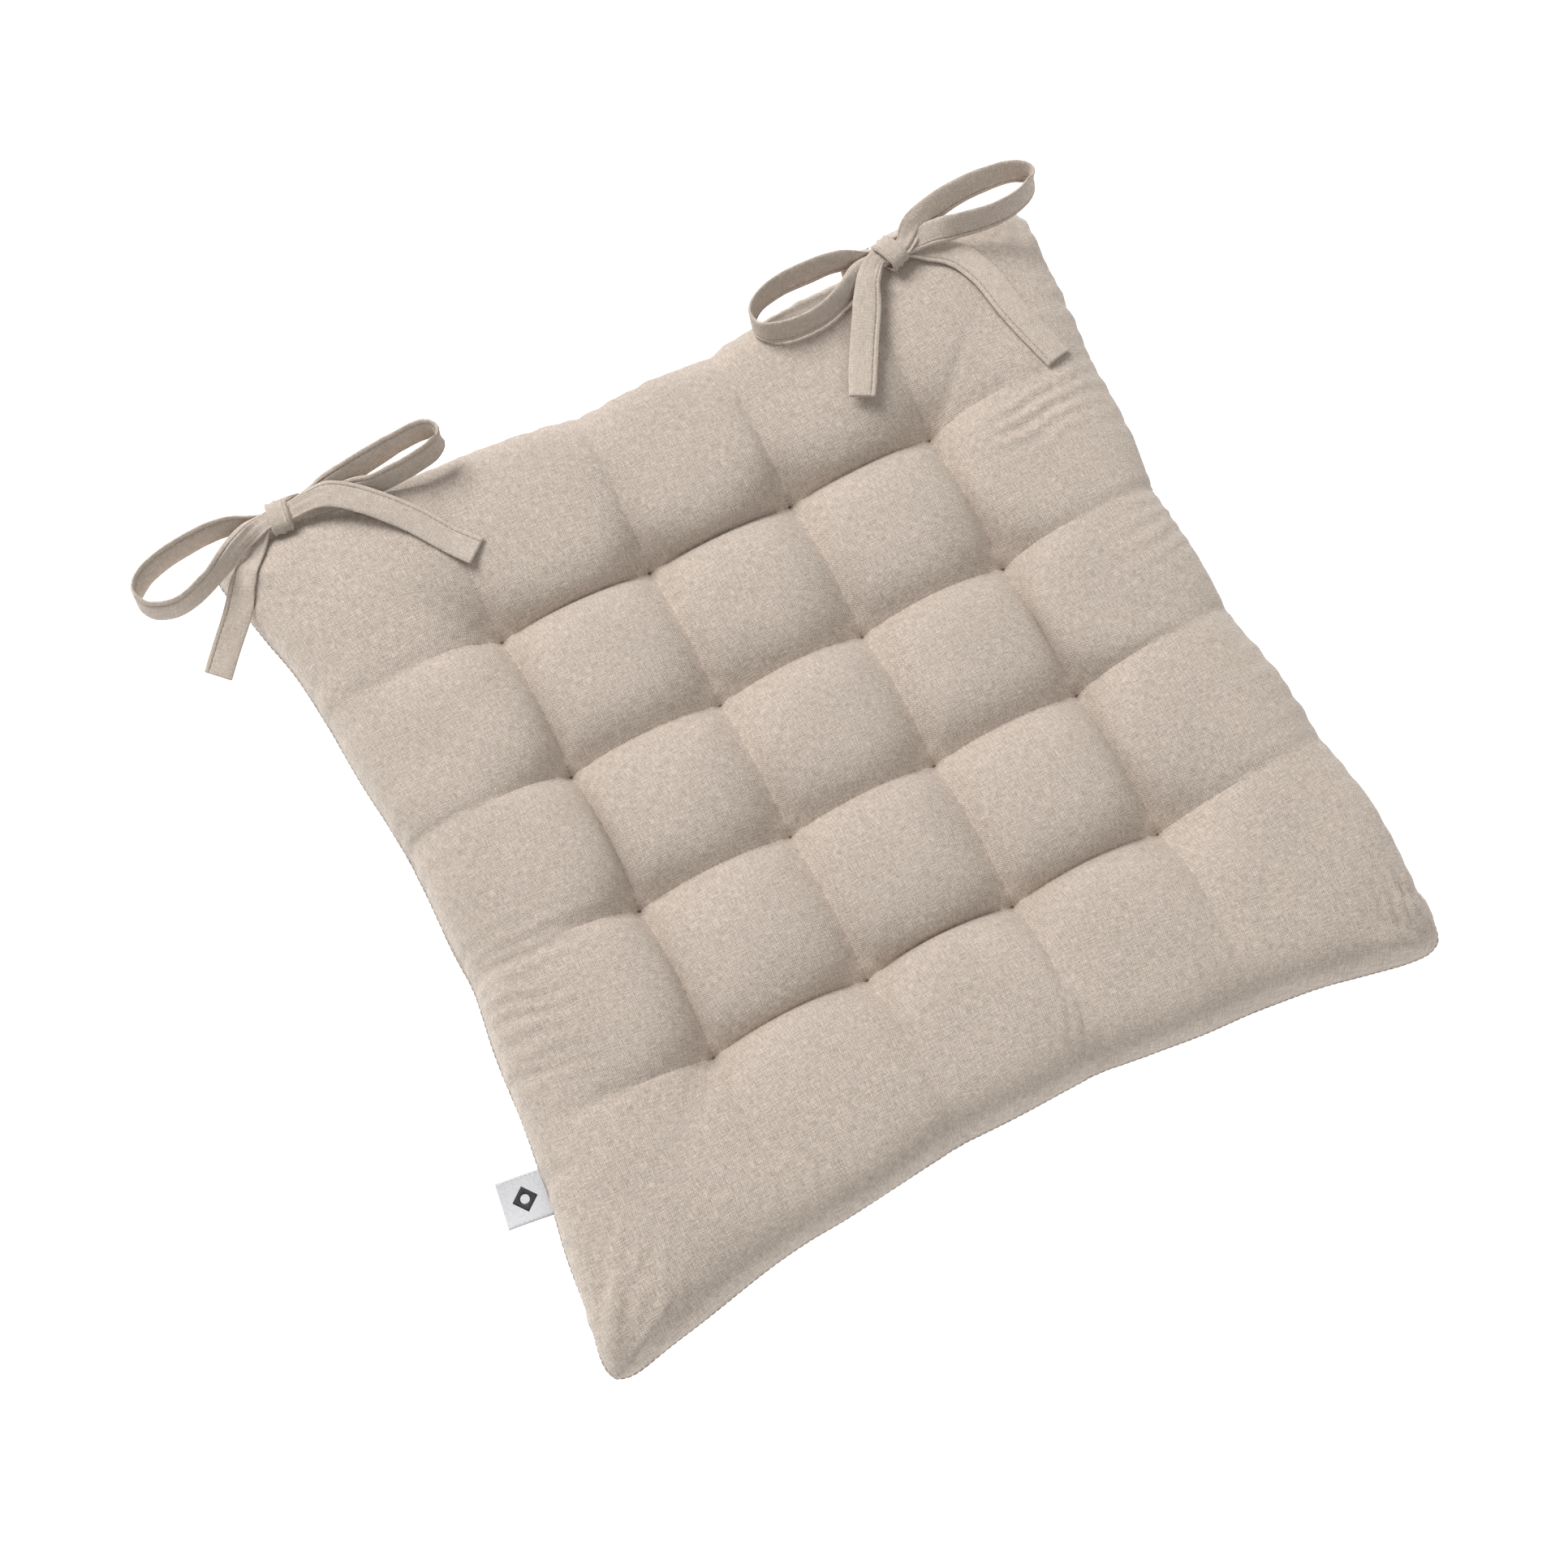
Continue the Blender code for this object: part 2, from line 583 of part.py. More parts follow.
def main():
    build_covers()
    build_filling()
    build_seam_thread()
    build_tuft_threads()
    build_bow("left", LEFT_KNOT_FROM_SIDE - PAD_WIDTH / 2, LEFT_KNOT_INSIDE, LEFT_KNOT_RISE,
              LEFT_BOW_LEFT_LOOP, LEFT_BOW_RIGHT_LOOP)
    build_bow("right", PAD_WIDTH / 2 - RIGHT_KNOT_FROM_SIDE, RIGHT_KNOT_INSIDE, RIGHT_KNOT_RISE,
              RIGHT_BOW_LEFT_LOOP, RIGHT_BOW_RIGHT_LOOP)
    build_label()


clear_scene()
PARTS = new_collection("chair_seat_pad")
CUTTERS = new_collection("cutters", hidden=True)
main()
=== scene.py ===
"""Looks for a tufted chair seat pad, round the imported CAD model: two cotton panels sewn flat and
stuffed by cloth simulation, 16 tufting threads, two pairs of tape ties in bows and a label."""

import json
import math

import bmesh
import bpy
import numpy as np
from mathutils import Matrix, Vector, noise
from mathutils.bvhtree import BVHTree


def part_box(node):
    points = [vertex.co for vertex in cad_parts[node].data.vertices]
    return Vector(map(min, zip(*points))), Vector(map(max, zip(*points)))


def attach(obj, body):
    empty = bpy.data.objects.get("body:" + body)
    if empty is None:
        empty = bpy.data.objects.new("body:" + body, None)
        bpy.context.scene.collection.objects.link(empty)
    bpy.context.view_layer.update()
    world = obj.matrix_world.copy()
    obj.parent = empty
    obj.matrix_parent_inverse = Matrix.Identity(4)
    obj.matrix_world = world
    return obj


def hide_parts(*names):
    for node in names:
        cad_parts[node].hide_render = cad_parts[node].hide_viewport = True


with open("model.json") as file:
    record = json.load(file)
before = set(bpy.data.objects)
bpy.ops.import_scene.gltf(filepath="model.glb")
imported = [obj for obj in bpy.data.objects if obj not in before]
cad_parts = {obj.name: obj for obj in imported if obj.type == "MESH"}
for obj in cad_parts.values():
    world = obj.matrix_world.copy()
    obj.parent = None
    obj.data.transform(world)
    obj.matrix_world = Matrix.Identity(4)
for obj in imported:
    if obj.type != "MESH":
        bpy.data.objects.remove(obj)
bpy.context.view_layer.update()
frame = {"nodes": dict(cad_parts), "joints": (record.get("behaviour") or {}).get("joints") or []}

MM = 0.001


# ---------------- sizes from the frame

def middle(node):
    low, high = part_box(node)
    return (low + high) / 2


def joint_of(name):
    return next(joint for joint in frame["joints"] if joint["name"] == name)


PAD_LOW, PAD_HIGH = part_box("top_cover")
PAD_HALF = (PAD_HIGH.x - PAD_LOW.x) / 2
SEAM = middle("seam_thread").z
TUFTS = {name: middle(name) for name in sorted(frame["nodes"]) if name.startswith("tuft_")}
TUFT_EDGE = max(place.x for place in TUFTS.values())
TUFT_PITCH = 2 * TUFT_EDGE / (math.isqrt(len(TUFTS)) - 1)

# The cloth: how each panel was cut, and how it lies before it is stuffed. Its grid has INNER_STEPS
# between two lines of tufts and OUTER_STEPS from the last line to the seam.
CLOTH = 0.8 * MM
FLAT_PITCH = 78 * MM
FLAT_OUTER = 100 * MM
LAID_OUTER = 84 * MM
INNER_STEPS = 18
OUTER_STEPS = 22
INNER_LINES = 1.5 * INNER_STEPS
GRID = round(2 * INNER_LINES) + 2 * OUTER_STEPS
SIDE_SHORTENING = 0.06
FLAT_CORNER = 13 * MM
LAID_CORNER = 11 * MM
PIT = 4 * MM
LAID_LOFT = 10 * MM
LAID_EDGE = 30 * MM

# The simulation, which runs at ten times the real size, where the solver is at its best.
SIM_SCALE = 10
SIM_FRAMES = 14
SIM_PRESSURE = 10

# The stuffed shape: how high it crowns above the seam, how it is pressed flat below it, how the
# edges even out, and how far in millimetres each corner leans from the square, by its side.
TOP_LOFT = 0.76
FULL_RISE = 36.5 * MM
FULLNESS = 2.1
UNDER_LOFT = 0.66
PRESS_SOFTNESS = 3 * MM
EDGE_SMOOTHING = 0.65
EDGE_BLUR_STEPS = 5
CORNER_REACH = 70 * MM
CORNER_LEANS = {(-1, 1): (-8, -4), (1, 1): (-2, -6), (1, -1): (-7, -4), (-1, -1): (-4, -7)}

# What the tufting does to the cloth: creases between the tufts, a wide dimple and a narrow pit at
# each one, and the least distance it keeps from the seam's plane there.
CREASE_DEPTH = 6 * MM
CREASE_WIDTH = 8.5 * MM
DIMPLE_DEPTH, DIMPLE_WIDTH = 3.4 * MM, 7 * MM
TUFT_PIT_DEPTH, TUFT_PIT_WIDTH = 2 * MM, 3 * MM
PINCH = 1.1 * MM
PINCH_REACH = 20 * MM
TAUT_REACH = 10 * MM

# Unevenness of the cloth: the filling's lumps, puckers along the seams, gathers in the corners.
LUMP_HEIGHT, LUMP_SIZE = 0.9 * MM, 34 * MM
PUCKER_HEIGHT, PUCKER_SPACING, PUCKER_REACH = 2.2 * MM, 7.5 * MM, 17 * MM
GATHER_HEIGHT, GATHER_START, GATHER_REACH = 2.6 * MM, 28 * MM, 17 * MM
FLOOR_REACH = 4 * MM
LEAST_HEIGHT = 0.2 * MM

# The filling: how far it stays inside the covers, and inside their seam.
FILLING_INSET = 2.4 * MM
FILLING_SEAM_GAP = 4 * MM

# Hand tufting: where the lines of tufts came out, in millimetres, from left to right and from
# front to back; a regular grid would have them at 36 and 108.
TUFTED_COLUMNS = (-107, -34.5, 35.5, 106.5)
TUFTED_ROWS = (-105, -34, 33, 103)

# Sets of wrinkles in the top panel, in millimetres: the middle of the set, the angle the wrinkles
# run at, how far they reach along and across it, how far apart they are and how high.
WRINKLES = [
    (149, 86, 3, 24, 15, 8.0, 1.5), (-150, -33, -4, 26, 11, 7.5, 0.9), (-166, -56, -10, 20, 12, 8.0, 1.1),
    (-170, -80, -14, 22, 9, 7.0, 0.8), (30, -166, 76, 20, 12, 6.5, 0.8), (178, -178, 84, 15, 15, 6.5, 1.1),
    (-176, -178, 62, 16, 14, 9.0, 1.2), (-128, 104, 8, 14, 9, 6.5, 0.6), (-60, 168, 80, 14, 16, 8.0, 0.5),
    (168, 10, 4, 18, 14, 8.5, 0.7), (100, -172, 86, 16, 20, 8.0, 0.7), (-95, -172, 84, 18, 22, 9.0, 0.7)]

# Ties: widths in millimetres, full, gathered in the knot and in the turn round it; the knots, in
# millimetres from their hinges; and half the distance between the two roots of a bow.
TIE_WIDTH = 13
TIE_GATHERED = 9
WRAP_WIDTH = 9.5
TIE_THICKNESS = 1.9 * MM
KNOTS = {"left": (0, -8.2, 26), "right": (0, -13.5, 32)}
ROOT_SPREAD = 10

# Label: how far it stands out of the seam and reaches into it, and half the gap between its layers.
LABEL_REACH = 20 * MM
LABEL_INSIDE = 3 * MM
LABEL_HALF_WIDTH = 10 * MM
LABEL_HALF_GAP = 0.3 * MM
LABEL_CLOTH = 0.3 * MM
ON_LABEL = LABEL_HALF_GAP + 0.17 * MM


# ---------------- small helpers

def link(obj):
    bpy.context.scene.collection.objects.link(obj)
    return obj


def mesh_object(name, bm, material=None, smooth=True):
    mesh = bpy.data.meshes.new(name)
    bm.to_mesh(mesh)
    bm.free()
    if smooth:
        mesh.shade_smooth()
    if material:
        mesh.materials.append(material)
    return link(bpy.data.objects.new(name, mesh))


def thicken(obj, thickness, offset=0):
    shell = obj.modifiers.new("thickness", "SOLIDIFY")
    shell.thickness = thickness
    shell.offset = offset


def applied(obj):
    """A copy of the object's mesh with its modifiers applied."""
    bpy.context.view_layer.update()
    return bpy.data.meshes.new_from_object(obj.evaluated_get(bpy.context.evaluated_depsgraph_get()))


def vectors_of(data, key="vector"):
    found = np.empty(len(data) * 3, np.float32)
    data.foreach_get(key, found)
    return found.reshape(-1, 3).astype(float)


def points_of(mesh):
    return vectors_of(mesh.vertices, "co")


def move_points(mesh, points):
    mesh.vertices.foreach_set("co", points.astype(np.float32).ravel())
    mesh.update()


def normals_of(mesh):
    return vectors_of(mesh.vertices, "normal")


def flat_of(mesh):
    """Where each point is on the flat cloth, and its side: 1 on top, 0 on the seam, -1 below."""
    return vectors_of(mesh.attributes["flat"].data)


def smooth_step(value):
    value = np.clip(value, 0, 1)
    return value * value * (3 - 2 * value)


def bell(distance, width):
    return np.exp(-((distance / width) ** 2))


def chance(x, y, z):
    """Smooth noise, the same on each run."""
    return noise.noise(Vector((x, y, z)))


def runs_along(points):
    """How far along a line each of its points is."""
    steps = np.linalg.norm(np.diff(points, axis=0), axis=1)
    return np.concatenate(([0], np.cumsum(steps)))


def point_at(at, runs, line):
    return Vector([np.interp(at, runs, line[:, axis]) for axis in range(3)])


def surface(tree, x, y):
    """The height of the cushion at a place, or a depth below everything off its edge."""
    hit = tree.ray_cast(Vector((x, y, 1)), Vector((0, 0, -1)))[0]
    return hit.z if hit else -1.0


def place_pieces(pieces, body):
    for piece in pieces:
        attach(piece, body)


# ---------------- materials

class Shader:
    """A material's node tree, with short ways to add a node and to join two."""

    def __init__(self, name, **constants):
        self.material = bpy.data.materials.new(name)
        self.material.use_nodes = True
        self.tree = self.material.node_tree
        self.surface = self.tree.nodes["Principled BSDF"]
        for socket, value in constants.items():
            self.surface.inputs[socket.replace("_", " ")].default_value = value

    def add(self, kind, inputs=None, **settings):
        node = self.tree.nodes.new(kind)
        for key, value in settings.items():
            setattr(node, key, value)
        for socket, value in (inputs or {}).items():
            if isinstance(value, bpy.types.NodeSocket):
                self.tree.links.new(value, node.inputs[socket])
            else:
                node.inputs[socket].default_value = value
        return node

    def math(self, operation, one, other=0.0):
        return self.add("ShaderNodeMath", {0: one, 1: other}, operation=operation).outputs[0]

    def total(self, *terms):
        """The sum of values, each times its weight."""
        parts = [self.math("MULTIPLY", value, weight) for value, weight in terms]
        while len(parts) > 1:
            parts[:2] = [self.math("ADD", parts[0], parts[1])]
        return parts[0]

    def bump(self, height, strength, distance):
        node = self.add("ShaderNodeBump", {"Height": height, "Strength": strength, "Distance": distance})
        return node.outputs[0]

    def mix(self, factor, one, other):
        return self.add("ShaderNodeMix", {0: factor, 6: one, 7: other}, data_type="RGBA").outputs[2]

    def noise(self, vector, scale, detail=2.0, roughness=0.5):
        node = self.add("ShaderNodeTexNoise",
                        {"Vector": vector, "Scale": scale, "Detail": detail, "Roughness": roughness})
        return node.outputs[0]

    def ramp(self, value, low, high):
        """0 below low, 1 above high."""
        node = self.add("ShaderNodeMapRange",
                        {"Value": value, "From Min": low, "From Max": high, "To Min": 0.0, "To Max": 1.0})
        return node.outputs[0]

    def surface_is(self, colour=None, roughness=None, normal=None):
        for socket, value in (("Base Color", colour), ("Roughness", roughness), ("Normal", normal)):
            if value is not None:
                self.tree.links.new(value, self.surface.inputs[socket])
        return self.material


def shade(colour, factor=1.0):
    return (*(channel * factor for channel in colour), 1)


def grey(value):
    return (value, value, value, 1)


def woven(name, colour, thread=0.55 * MM, contrast=1.0):
    """Plain-woven cotton: crossing threads, thick and thin yarns, heathering and fine fuzz."""
    cloth = Shader(name, Roughness=0.92, Sheen_Weight=0.35, Sheen_Roughness=0.45,
                   Sheen_Tint=(1.0, 0.96, 0.9, 1), Specular_IOR_Level=0.2)
    place = cloth.add("ShaderNodeUVMap", uv_map="cloth").outputs[0]
    split = cloth.add("ShaderNodeSeparateXYZ", {0: place})

    def stretched(scale_x, scale_y):
        node = cloth.add("ShaderNodeMapping", {"Vector": place, "Scale": (scale_x, scale_y, 1)})
        return node.outputs[0]

    across, along = (
        cloth.math("SINE", cloth.math("MULTIPLY", split.outputs[axis], math.pi / thread))
        for axis in (0, 1))
    weave = cloth.math("MULTIPLY", across, along)
    weft = cloth.noise(stretched(0.12, 1), 1 / thread, 1)
    warp = cloth.noise(stretched(1, 0.12), 1 / thread, 1)
    yarns = cloth.math("ADD", cloth.ramp(weft, 0.35, 0.7), cloth.ramp(warp, 0.35, 0.7))
    grain = cloth.noise(place, 0.8 / thread, 3, 0.65)
    fuzz = cloth.noise(place, 3 / thread, 2)
    cloud = cloth.noise(place, 28, 2)
    slubs = cloth.ramp(cloth.noise(stretched(0.35, 1), 1.1 / thread, 2, 0.6), 0.66, 0.74)
    tone = cloth.total((grain, 0.55), (yarns, 0.18), (cloud, 0.12), (weave, 0.05))
    mixed = cloth.mix(cloth.ramp(tone, 0.30, 0.76), shade(colour, 1 - 0.30 * contrast),
                      shade(colour, 1 + 0.26 * contrast))
    mixed = cloth.mix(cloth.math("MULTIPLY", slubs, 0.45), mixed, shade(colour, 1.35))
    relief = cloth.total((weave, 0.3), (fuzz, 0.5), (grain, 0.8), (yarns, 0.25))
    rough = cloth.math("ADD", cloth.math("MULTIPLY", grain, 0.12), 0.84)
    return cloth.surface_is(mixed, rough, cloth.bump(relief, 0.75, 0.35 * MM))


def spun(name, colour, ply=0.5 * MM):
    """Sewing thread: diagonal plies and loose fibres."""
    thread = Shader(name, Roughness=0.7, Sheen_Weight=0.2, Sheen_Roughness=0.5)
    place = thread.add("ShaderNodeTexCoord").outputs["Object"]
    plies = thread.add("ShaderNodeTexWave", {"Vector": place, "Scale": 0.314 / ply, "Distortion": 1.5},
                       bands_direction="DIAGONAL").outputs[1]
    fibre = thread.noise(place, 5 / ply, 2)
    mixed = thread.mix(thread.total((plies, 0.6), (fibre, 0.4)), shade(colour, 0.78), shade(colour, 1.12))
    rough = thread.math("ADD", thread.math("MULTIPLY", fibre, 0.2), 0.6)
    return thread.surface_is(mixed, rough, thread.bump(plies, 0.5, 0.1 * MM))


def fibre_fill(name):
    """Loose white polyester fibre."""
    fill = Shader(name, Roughness=0.95, Sheen_Weight=0.5, Sheen_Roughness=0.6)
    place = fill.add("ShaderNodeTexCoord").outputs["Object"]
    curls = fill.noise(place, 700, 4, 0.7)
    mixed = fill.mix(curls, shade((0.74, 0.73, 0.70)), shade((0.93, 0.93, 0.91)))
    return fill.surface_is(mixed, normal=fill.bump(curls, 0.8, 1 * MM))


def satin(name):
    """White label ribbon: fine ribs across it, slightly glossy."""
    ribbon = Shader(name, Roughness=0.5, Sheen_Weight=0.1, Specular_IOR_Level=0.35)
    place = ribbon.add("ShaderNodeUVMap", uv_map="cloth").outputs[0]
    split = ribbon.add("ShaderNodeSeparateXYZ", {0: place})
    ribs = ribbon.math("SINE", ribbon.math("MULTIPLY", split.outputs[0], 2 * math.pi / (0.45 * MM)))
    blur = ribbon.noise(place, 900, 2)
    mixed = ribbon.mix(ribbon.ramp(blur, 0.3, 0.7), shade((0.53, 0.53, 0.55)), shade((0.62, 0.62, 0.64)))
    rough = ribbon.math("ADD", ribbon.math("MULTIPLY", blur, 0.2), 0.42)
    relief = ribbon.total((ribs, 0.5), (blur, 1.0))
    return ribbon.surface_is(mixed, rough, ribbon.bump(relief, 0.35, 0.1 * MM))


def print_ink(name):
    """Black ink that lets a little of the ribbon's grain through."""
    ink = Shader(name, Roughness=0.6)
    place = ink.add("ShaderNodeTexCoord").outputs["Object"]
    speckle = ink.noise(place, 2500, 2)
    mixed = ink.mix(ink.ramp(speckle, 0.45, 0.75), shade((0.009, 0.009, 0.010)), shade((0.03, 0.03, 0.032)))
    return ink.surface_is(mixed, ink.math("ADD", ink.math("MULTIPLY", speckle, 0.25), 0.45))


def paper_floor(name):
    """White studio paper that glows a little, so that it stays white in the picture."""
    floor = Shader(name, Roughness=0.9, Emission_Color=grey(1.0), Emission_Strength=0.55)
    place = floor.add("ShaderNodeTexCoord").outputs["Object"]
    return floor.surface_is(floor.mix(floor.noise(place, 3, 2), grey(0.9), grey(0.93)))


COTTON = woven("beige_cotton", (0.57, 0.485, 0.415), contrast=1.2)
TAPE_COTTON = woven("tape_cotton", (0.59, 0.505, 0.433), 0.5 * MM, 0.9)
THREAD = spun("beige_thread", (0.30, 0.24, 0.185))
# The tufting thread: its own brown, made darker so that it also serves as painted shade of the deep pit at
# each tuft.
TUFT_THREAD_AND_PIT_SHADE = spun("tufting_thread_and_pit_shade", (0.17, 0.13, 0.10), 0.8 * MM)
FIBRE = fibre_fill("white_fibre")
RIBBON = satin("label_ribbon")
GREY_THREAD = spun("label_thread", (0.36, 0.36, 0.38), 0.4 * MM)
INK = print_ink("label_ink")


# ---------------- the cushion

def line_places():
    """The flat and the laid coordinate of each grid line, from one edge of a panel to the other."""
    flat, laid = [], []
    for index in range(GRID + 1):
        steps = index - GRID / 2
        side, steps = math.copysign(1, steps), abs(steps)
        inner = min(steps, INNER_LINES)
        outer = (steps - inner) / OUTER_STEPS
        flat.append(side * (inner * FLAT_PITCH / INNER_STEPS + outer * FLAT_OUTER))
        laid.append(side * (inner * TUFT_PITCH / INNER_STEPS + outer * LAID_OUTER))
    return flat, laid


FLAT, LAID = line_places()


def outward(index):
    """0 up to the last line of tufts, 1 at the edge."""
    return max(abs(index - GRID / 2) - INNER_LINES, 0) / OUTER_STEPS


def panel_point(lines, i, j, shortening, corner):
    """A point of a panel whose sides may be shorter than its middle, with rounded corners."""
    x = lines[i] * (1 - shortening * outward(j) * (1 - 0.5 * outward(i)))
    y = lines[j] * (1 - shortening * outward(i) * (1 - 0.5 * outward(j)))
    start = lines[-1] * (1 - 0.5 * shortening) - corner
    over_x, over_y = abs(x) - start, abs(y) - start
    if over_x > 0 and over_y > 0:
        pull = 1 - max(over_x, over_y) / math.hypot(over_x, over_y)
        x -= math.copysign(over_x * pull, x)
        y -= math.copysign(over_y * pull, y)
    return x, y


def swell(place):
    """0 on a line of tufts, 1 halfway between two lines and out to the edge."""
    distance = abs(place)
    if distance > TUFT_EDGE:
        return math.sin(math.pi / 2 * min((distance - TUFT_EDGE) / (TUFT_PITCH / 2), 1))
    return abs(math.sin(math.pi * (distance + TUFT_EDGE) / TUFT_PITCH))


def loft(x, y):
    """How far a panel stands off the seam before it is stuffed."""
    across, along = swell(x), swell(y)
    ridge = across + along - across * along
    full = PIT + LAID_LOFT * (ridge + (across * along) ** 0.8)
    for place in (x, y):
        inward = min((LAID[-1] - abs(place)) / LAID_EDGE, 1)
        full *= math.sqrt(max(1 - (1 - inward) ** 2, 0))
    return full


def sewn_panels():
    """Two square panels joined at their rims. The map named cloth and the points' attribute flat
    hold where each point is along the weave, in metres; cut is the shape the cloth was cut to."""
    bm = bmesh.new()
    flat = bm.verts.layers.float_vector.new("flat")
    cut = bm.verts.layers.float_vector.new("cut")
    for side in (1, -1):
        made = bmesh.ops.create_grid(bm, x_segments=GRID, y_segments=GRID, size=1)["verts"]
        for vert in made:
            i, j = (round((place + 1) / 2 * GRID) for place in vert.co.xy)
            vert[flat] = (FLAT[i], FLAT[j], 0 if vert.is_boundary else side)
            vert[cut] = (*panel_point(FLAT, i, j, SIDE_SHORTENING, FLAT_CORNER), 0)
            x, y = panel_point(LAID, i, j, 0, LAID_CORNER)
            vert.co = (x, y, SEAM + side * loft(LAID[i], LAID[j]))
        faces = list({face for vert in made for face in vert.link_faces})
        for face in faces:
            face.material_index = int(side < 0)
        if side < 0:
            bmesh.ops.reverse_faces(bm, faces=faces)
    cloth = bm.loops.layers.uv.new("cloth")
    for face in bm.faces:
        for loop in face.loops:
            loop[cloth].uv = loop.vert[flat].xy
    rim = [vert for vert in bm.verts if vert.is_boundary]
    bmesh.ops.remove_doubles(bm, verts=rim, dist=0.01 * MM)
    return mesh_object("sewn_panels", bm)


def from_lines(flat):
    """How far each coordinate on the flat cloth is from its nearest line of tufts."""
    return np.minimum(np.abs(np.abs(flat) - FLAT_PITCH / 2), np.abs(np.abs(flat) - 1.5 * FLAT_PITCH))


def tufted(points):
    """The points, moved with the hand-placed lines of tufts."""
    regular = [-PAD_HALF] + [(k - 1.5) * TUFT_PITCH for k in range(4)] + [PAD_HALF]
    points = np.array(points, float)
    for axis, lines in ((0, TUFTED_COLUMNS), (1, TUFTED_ROWS)):
        real = [-PAD_HALF] + [line * MM for line in lines] + [PAD_HALF]
        shift = np.subtract(real, regular)
        points[..., axis] += np.interp(points[..., axis], regular, shift)
    return points


def from_tufts(points):
    """How far each point is from its nearest tuft, seen from above."""
    places = [tufted(place)[:2] for place in TUFTS.values()]
    return np.min([np.hypot(*(points[:, :2] - place).T) for place in places], axis=0)


def stuff(pad):
    """Cloth simulation: the cut cloth is wider than the pad, so the filling's pressure swells it
    into pillows between the tufts, and its edges draw in. Returns the stuffed mesh."""
    move_points(pad.data, points_of(pad.data) * SIM_SCALE)
    pad.shape_key_add(name="Basis")
    cut = pad.shape_key_add(name="cut")
    spread = vectors_of(pad.data.attributes["cut"].data) * SIM_SCALE
    cut.data.foreach_set("co", spread.astype(np.float32).ravel())
    cut.value = 0
    at_tuft = (from_lines(flat_of(pad.data)[:, :2]) < 0.5 * MM).all(axis=1)
    held = pad.vertex_groups.new(name="tufts")
    held.add(np.flatnonzero(at_tuft).tolist(), 1, "REPLACE")
    cloth = pad.modifiers.new("cloth", "CLOTH")
    settings = cloth.settings
    settings.rest_shape_key = cut
    settings.vertex_group_mass = held.name
    settings.quality = 6
    settings.mass = 0.02
    settings.air_damping = 1
    settings.tension_stiffness = settings.compression_stiffness = 15
    settings.shear_stiffness = 5
    settings.bending_stiffness = 0.5
    settings.tension_damping = settings.compression_damping = settings.shear_damping = 5
    settings.bending_damping = 0.5
    settings.use_pressure = True
    settings.uniform_pressure_force = SIM_PRESSURE
    settings.effector_weights.gravity = 0
    cloth.collision_settings.use_collision = False
    cloth.collision_settings.use_self_collision = False
    for step in range(1, SIM_FRAMES + 1):
        bpy.context.scene.frame_set(step)
    stuffed = applied(pad)
    stuffed.transform(Matrix.Scale(1 / SIM_SCALE, 4))
    bpy.context.scene.frame_set(1)
    return stuffed


def soften_edges(mesh):
    """Evens out the folds between the outermost pillows, more and more towards the seam, as the
    stiff layers of the seam do."""
    points = points_of(mesh)
    flat = flat_of(mesh)
    i, j = (np.abs(flat[:, axis, None] - FLAT).argmin(axis=1) for axis in (0, 1))
    shares = np.array([outward(k) for k in range(GRID + 1)])
    reach = 3 * EDGE_BLUR_STEPS
    kernel = np.exp(-0.5 * (np.arange(-reach, reach + 1) / EDGE_BLUR_STEPS) ** 2)
    kernel /= kernel.sum()
    for side in (1, -1):
        mine = flat[:, 2] * side >= 0
        sheet = np.zeros((GRID + 1, GRID + 1, 3))
        sheet[i[mine], j[mine]] = points[mine]
        for _ in range(2):
            padded = np.pad(sheet, ((0, 0), (reach, reach), (0, 0)), "reflect", reflect_type="odd")
            blurred = np.apply_along_axis(np.convolve, 1, padded, kernel, "valid")
            share = shares[:, None, None] * (1 - shares[None, :, None])
            sheet += EDGE_SMOOTHING * share * (blurred - sheet)
            sheet = sheet.transpose(1, 0, 2)
        points[mine] = sheet[i[mine], j[mine]]
    move_points(mesh, points)


def settle(mesh):
    """Brings the stuffed shape to the pad's size, presses its underside flat and leans its ears."""
    points = points_of(mesh)
    beyond = np.clip(np.abs(points[:, :2]) - TUFT_EDGE, 0, None)
    stretch = (PAD_HALF - TUFT_EDGE) / beyond.max()
    points[:, :2] += np.sign(points[:, :2]) * beyond * (stretch - 1)
    rise = points[:, 2] - SEAM
    depth = -rise * UNDER_LOFT
    pressed = SEAM - PRESS_SOFTNESS * np.logaddexp(0, (SEAM - depth) / PRESS_SOFTNESS)
    full = FULL_RISE * (1 - np.clip(1 - rise / FULL_RISE, 0, 1) ** FULLNESS)
    points[:, 2] = SEAM + np.where(rise > 0, full * TOP_LOFT, -np.where(rise < 0, pressed, 0))
    for (side_x, side_y), lean in CORNER_LEANS.items():
        tip = np.array((side_x * PAD_HALF, side_y * PAD_HALF))
        near = 1 - np.hypot(*(points[:, :2] - tip).T) / CORNER_REACH
        points[:, :2] += smooth_step(near)[:, None] * np.array(lean) * MM
    move_points(mesh, tufted(points))


def finer(mesh):
    """One subdivision, with the seam kept sharp."""
    obj = link(bpy.data.objects.new("finer", mesh))
    sharp = mesh.attributes.new("crease_edge", "FLOAT", "EDGE")
    for edge in mesh.edges:
        on_seam = all(mesh.attributes["flat"].data[k].vector[2] == 0 for k in edge.vertices)
        sharp.data[edge.index].value = 0.8 if on_seam else 0
    smooth = obj.modifiers.new("smooth", "SUBSURF")
    smooth.levels = smooth.render_levels = 1
    made = applied(obj)
    bpy.data.objects.remove(obj)
    return made


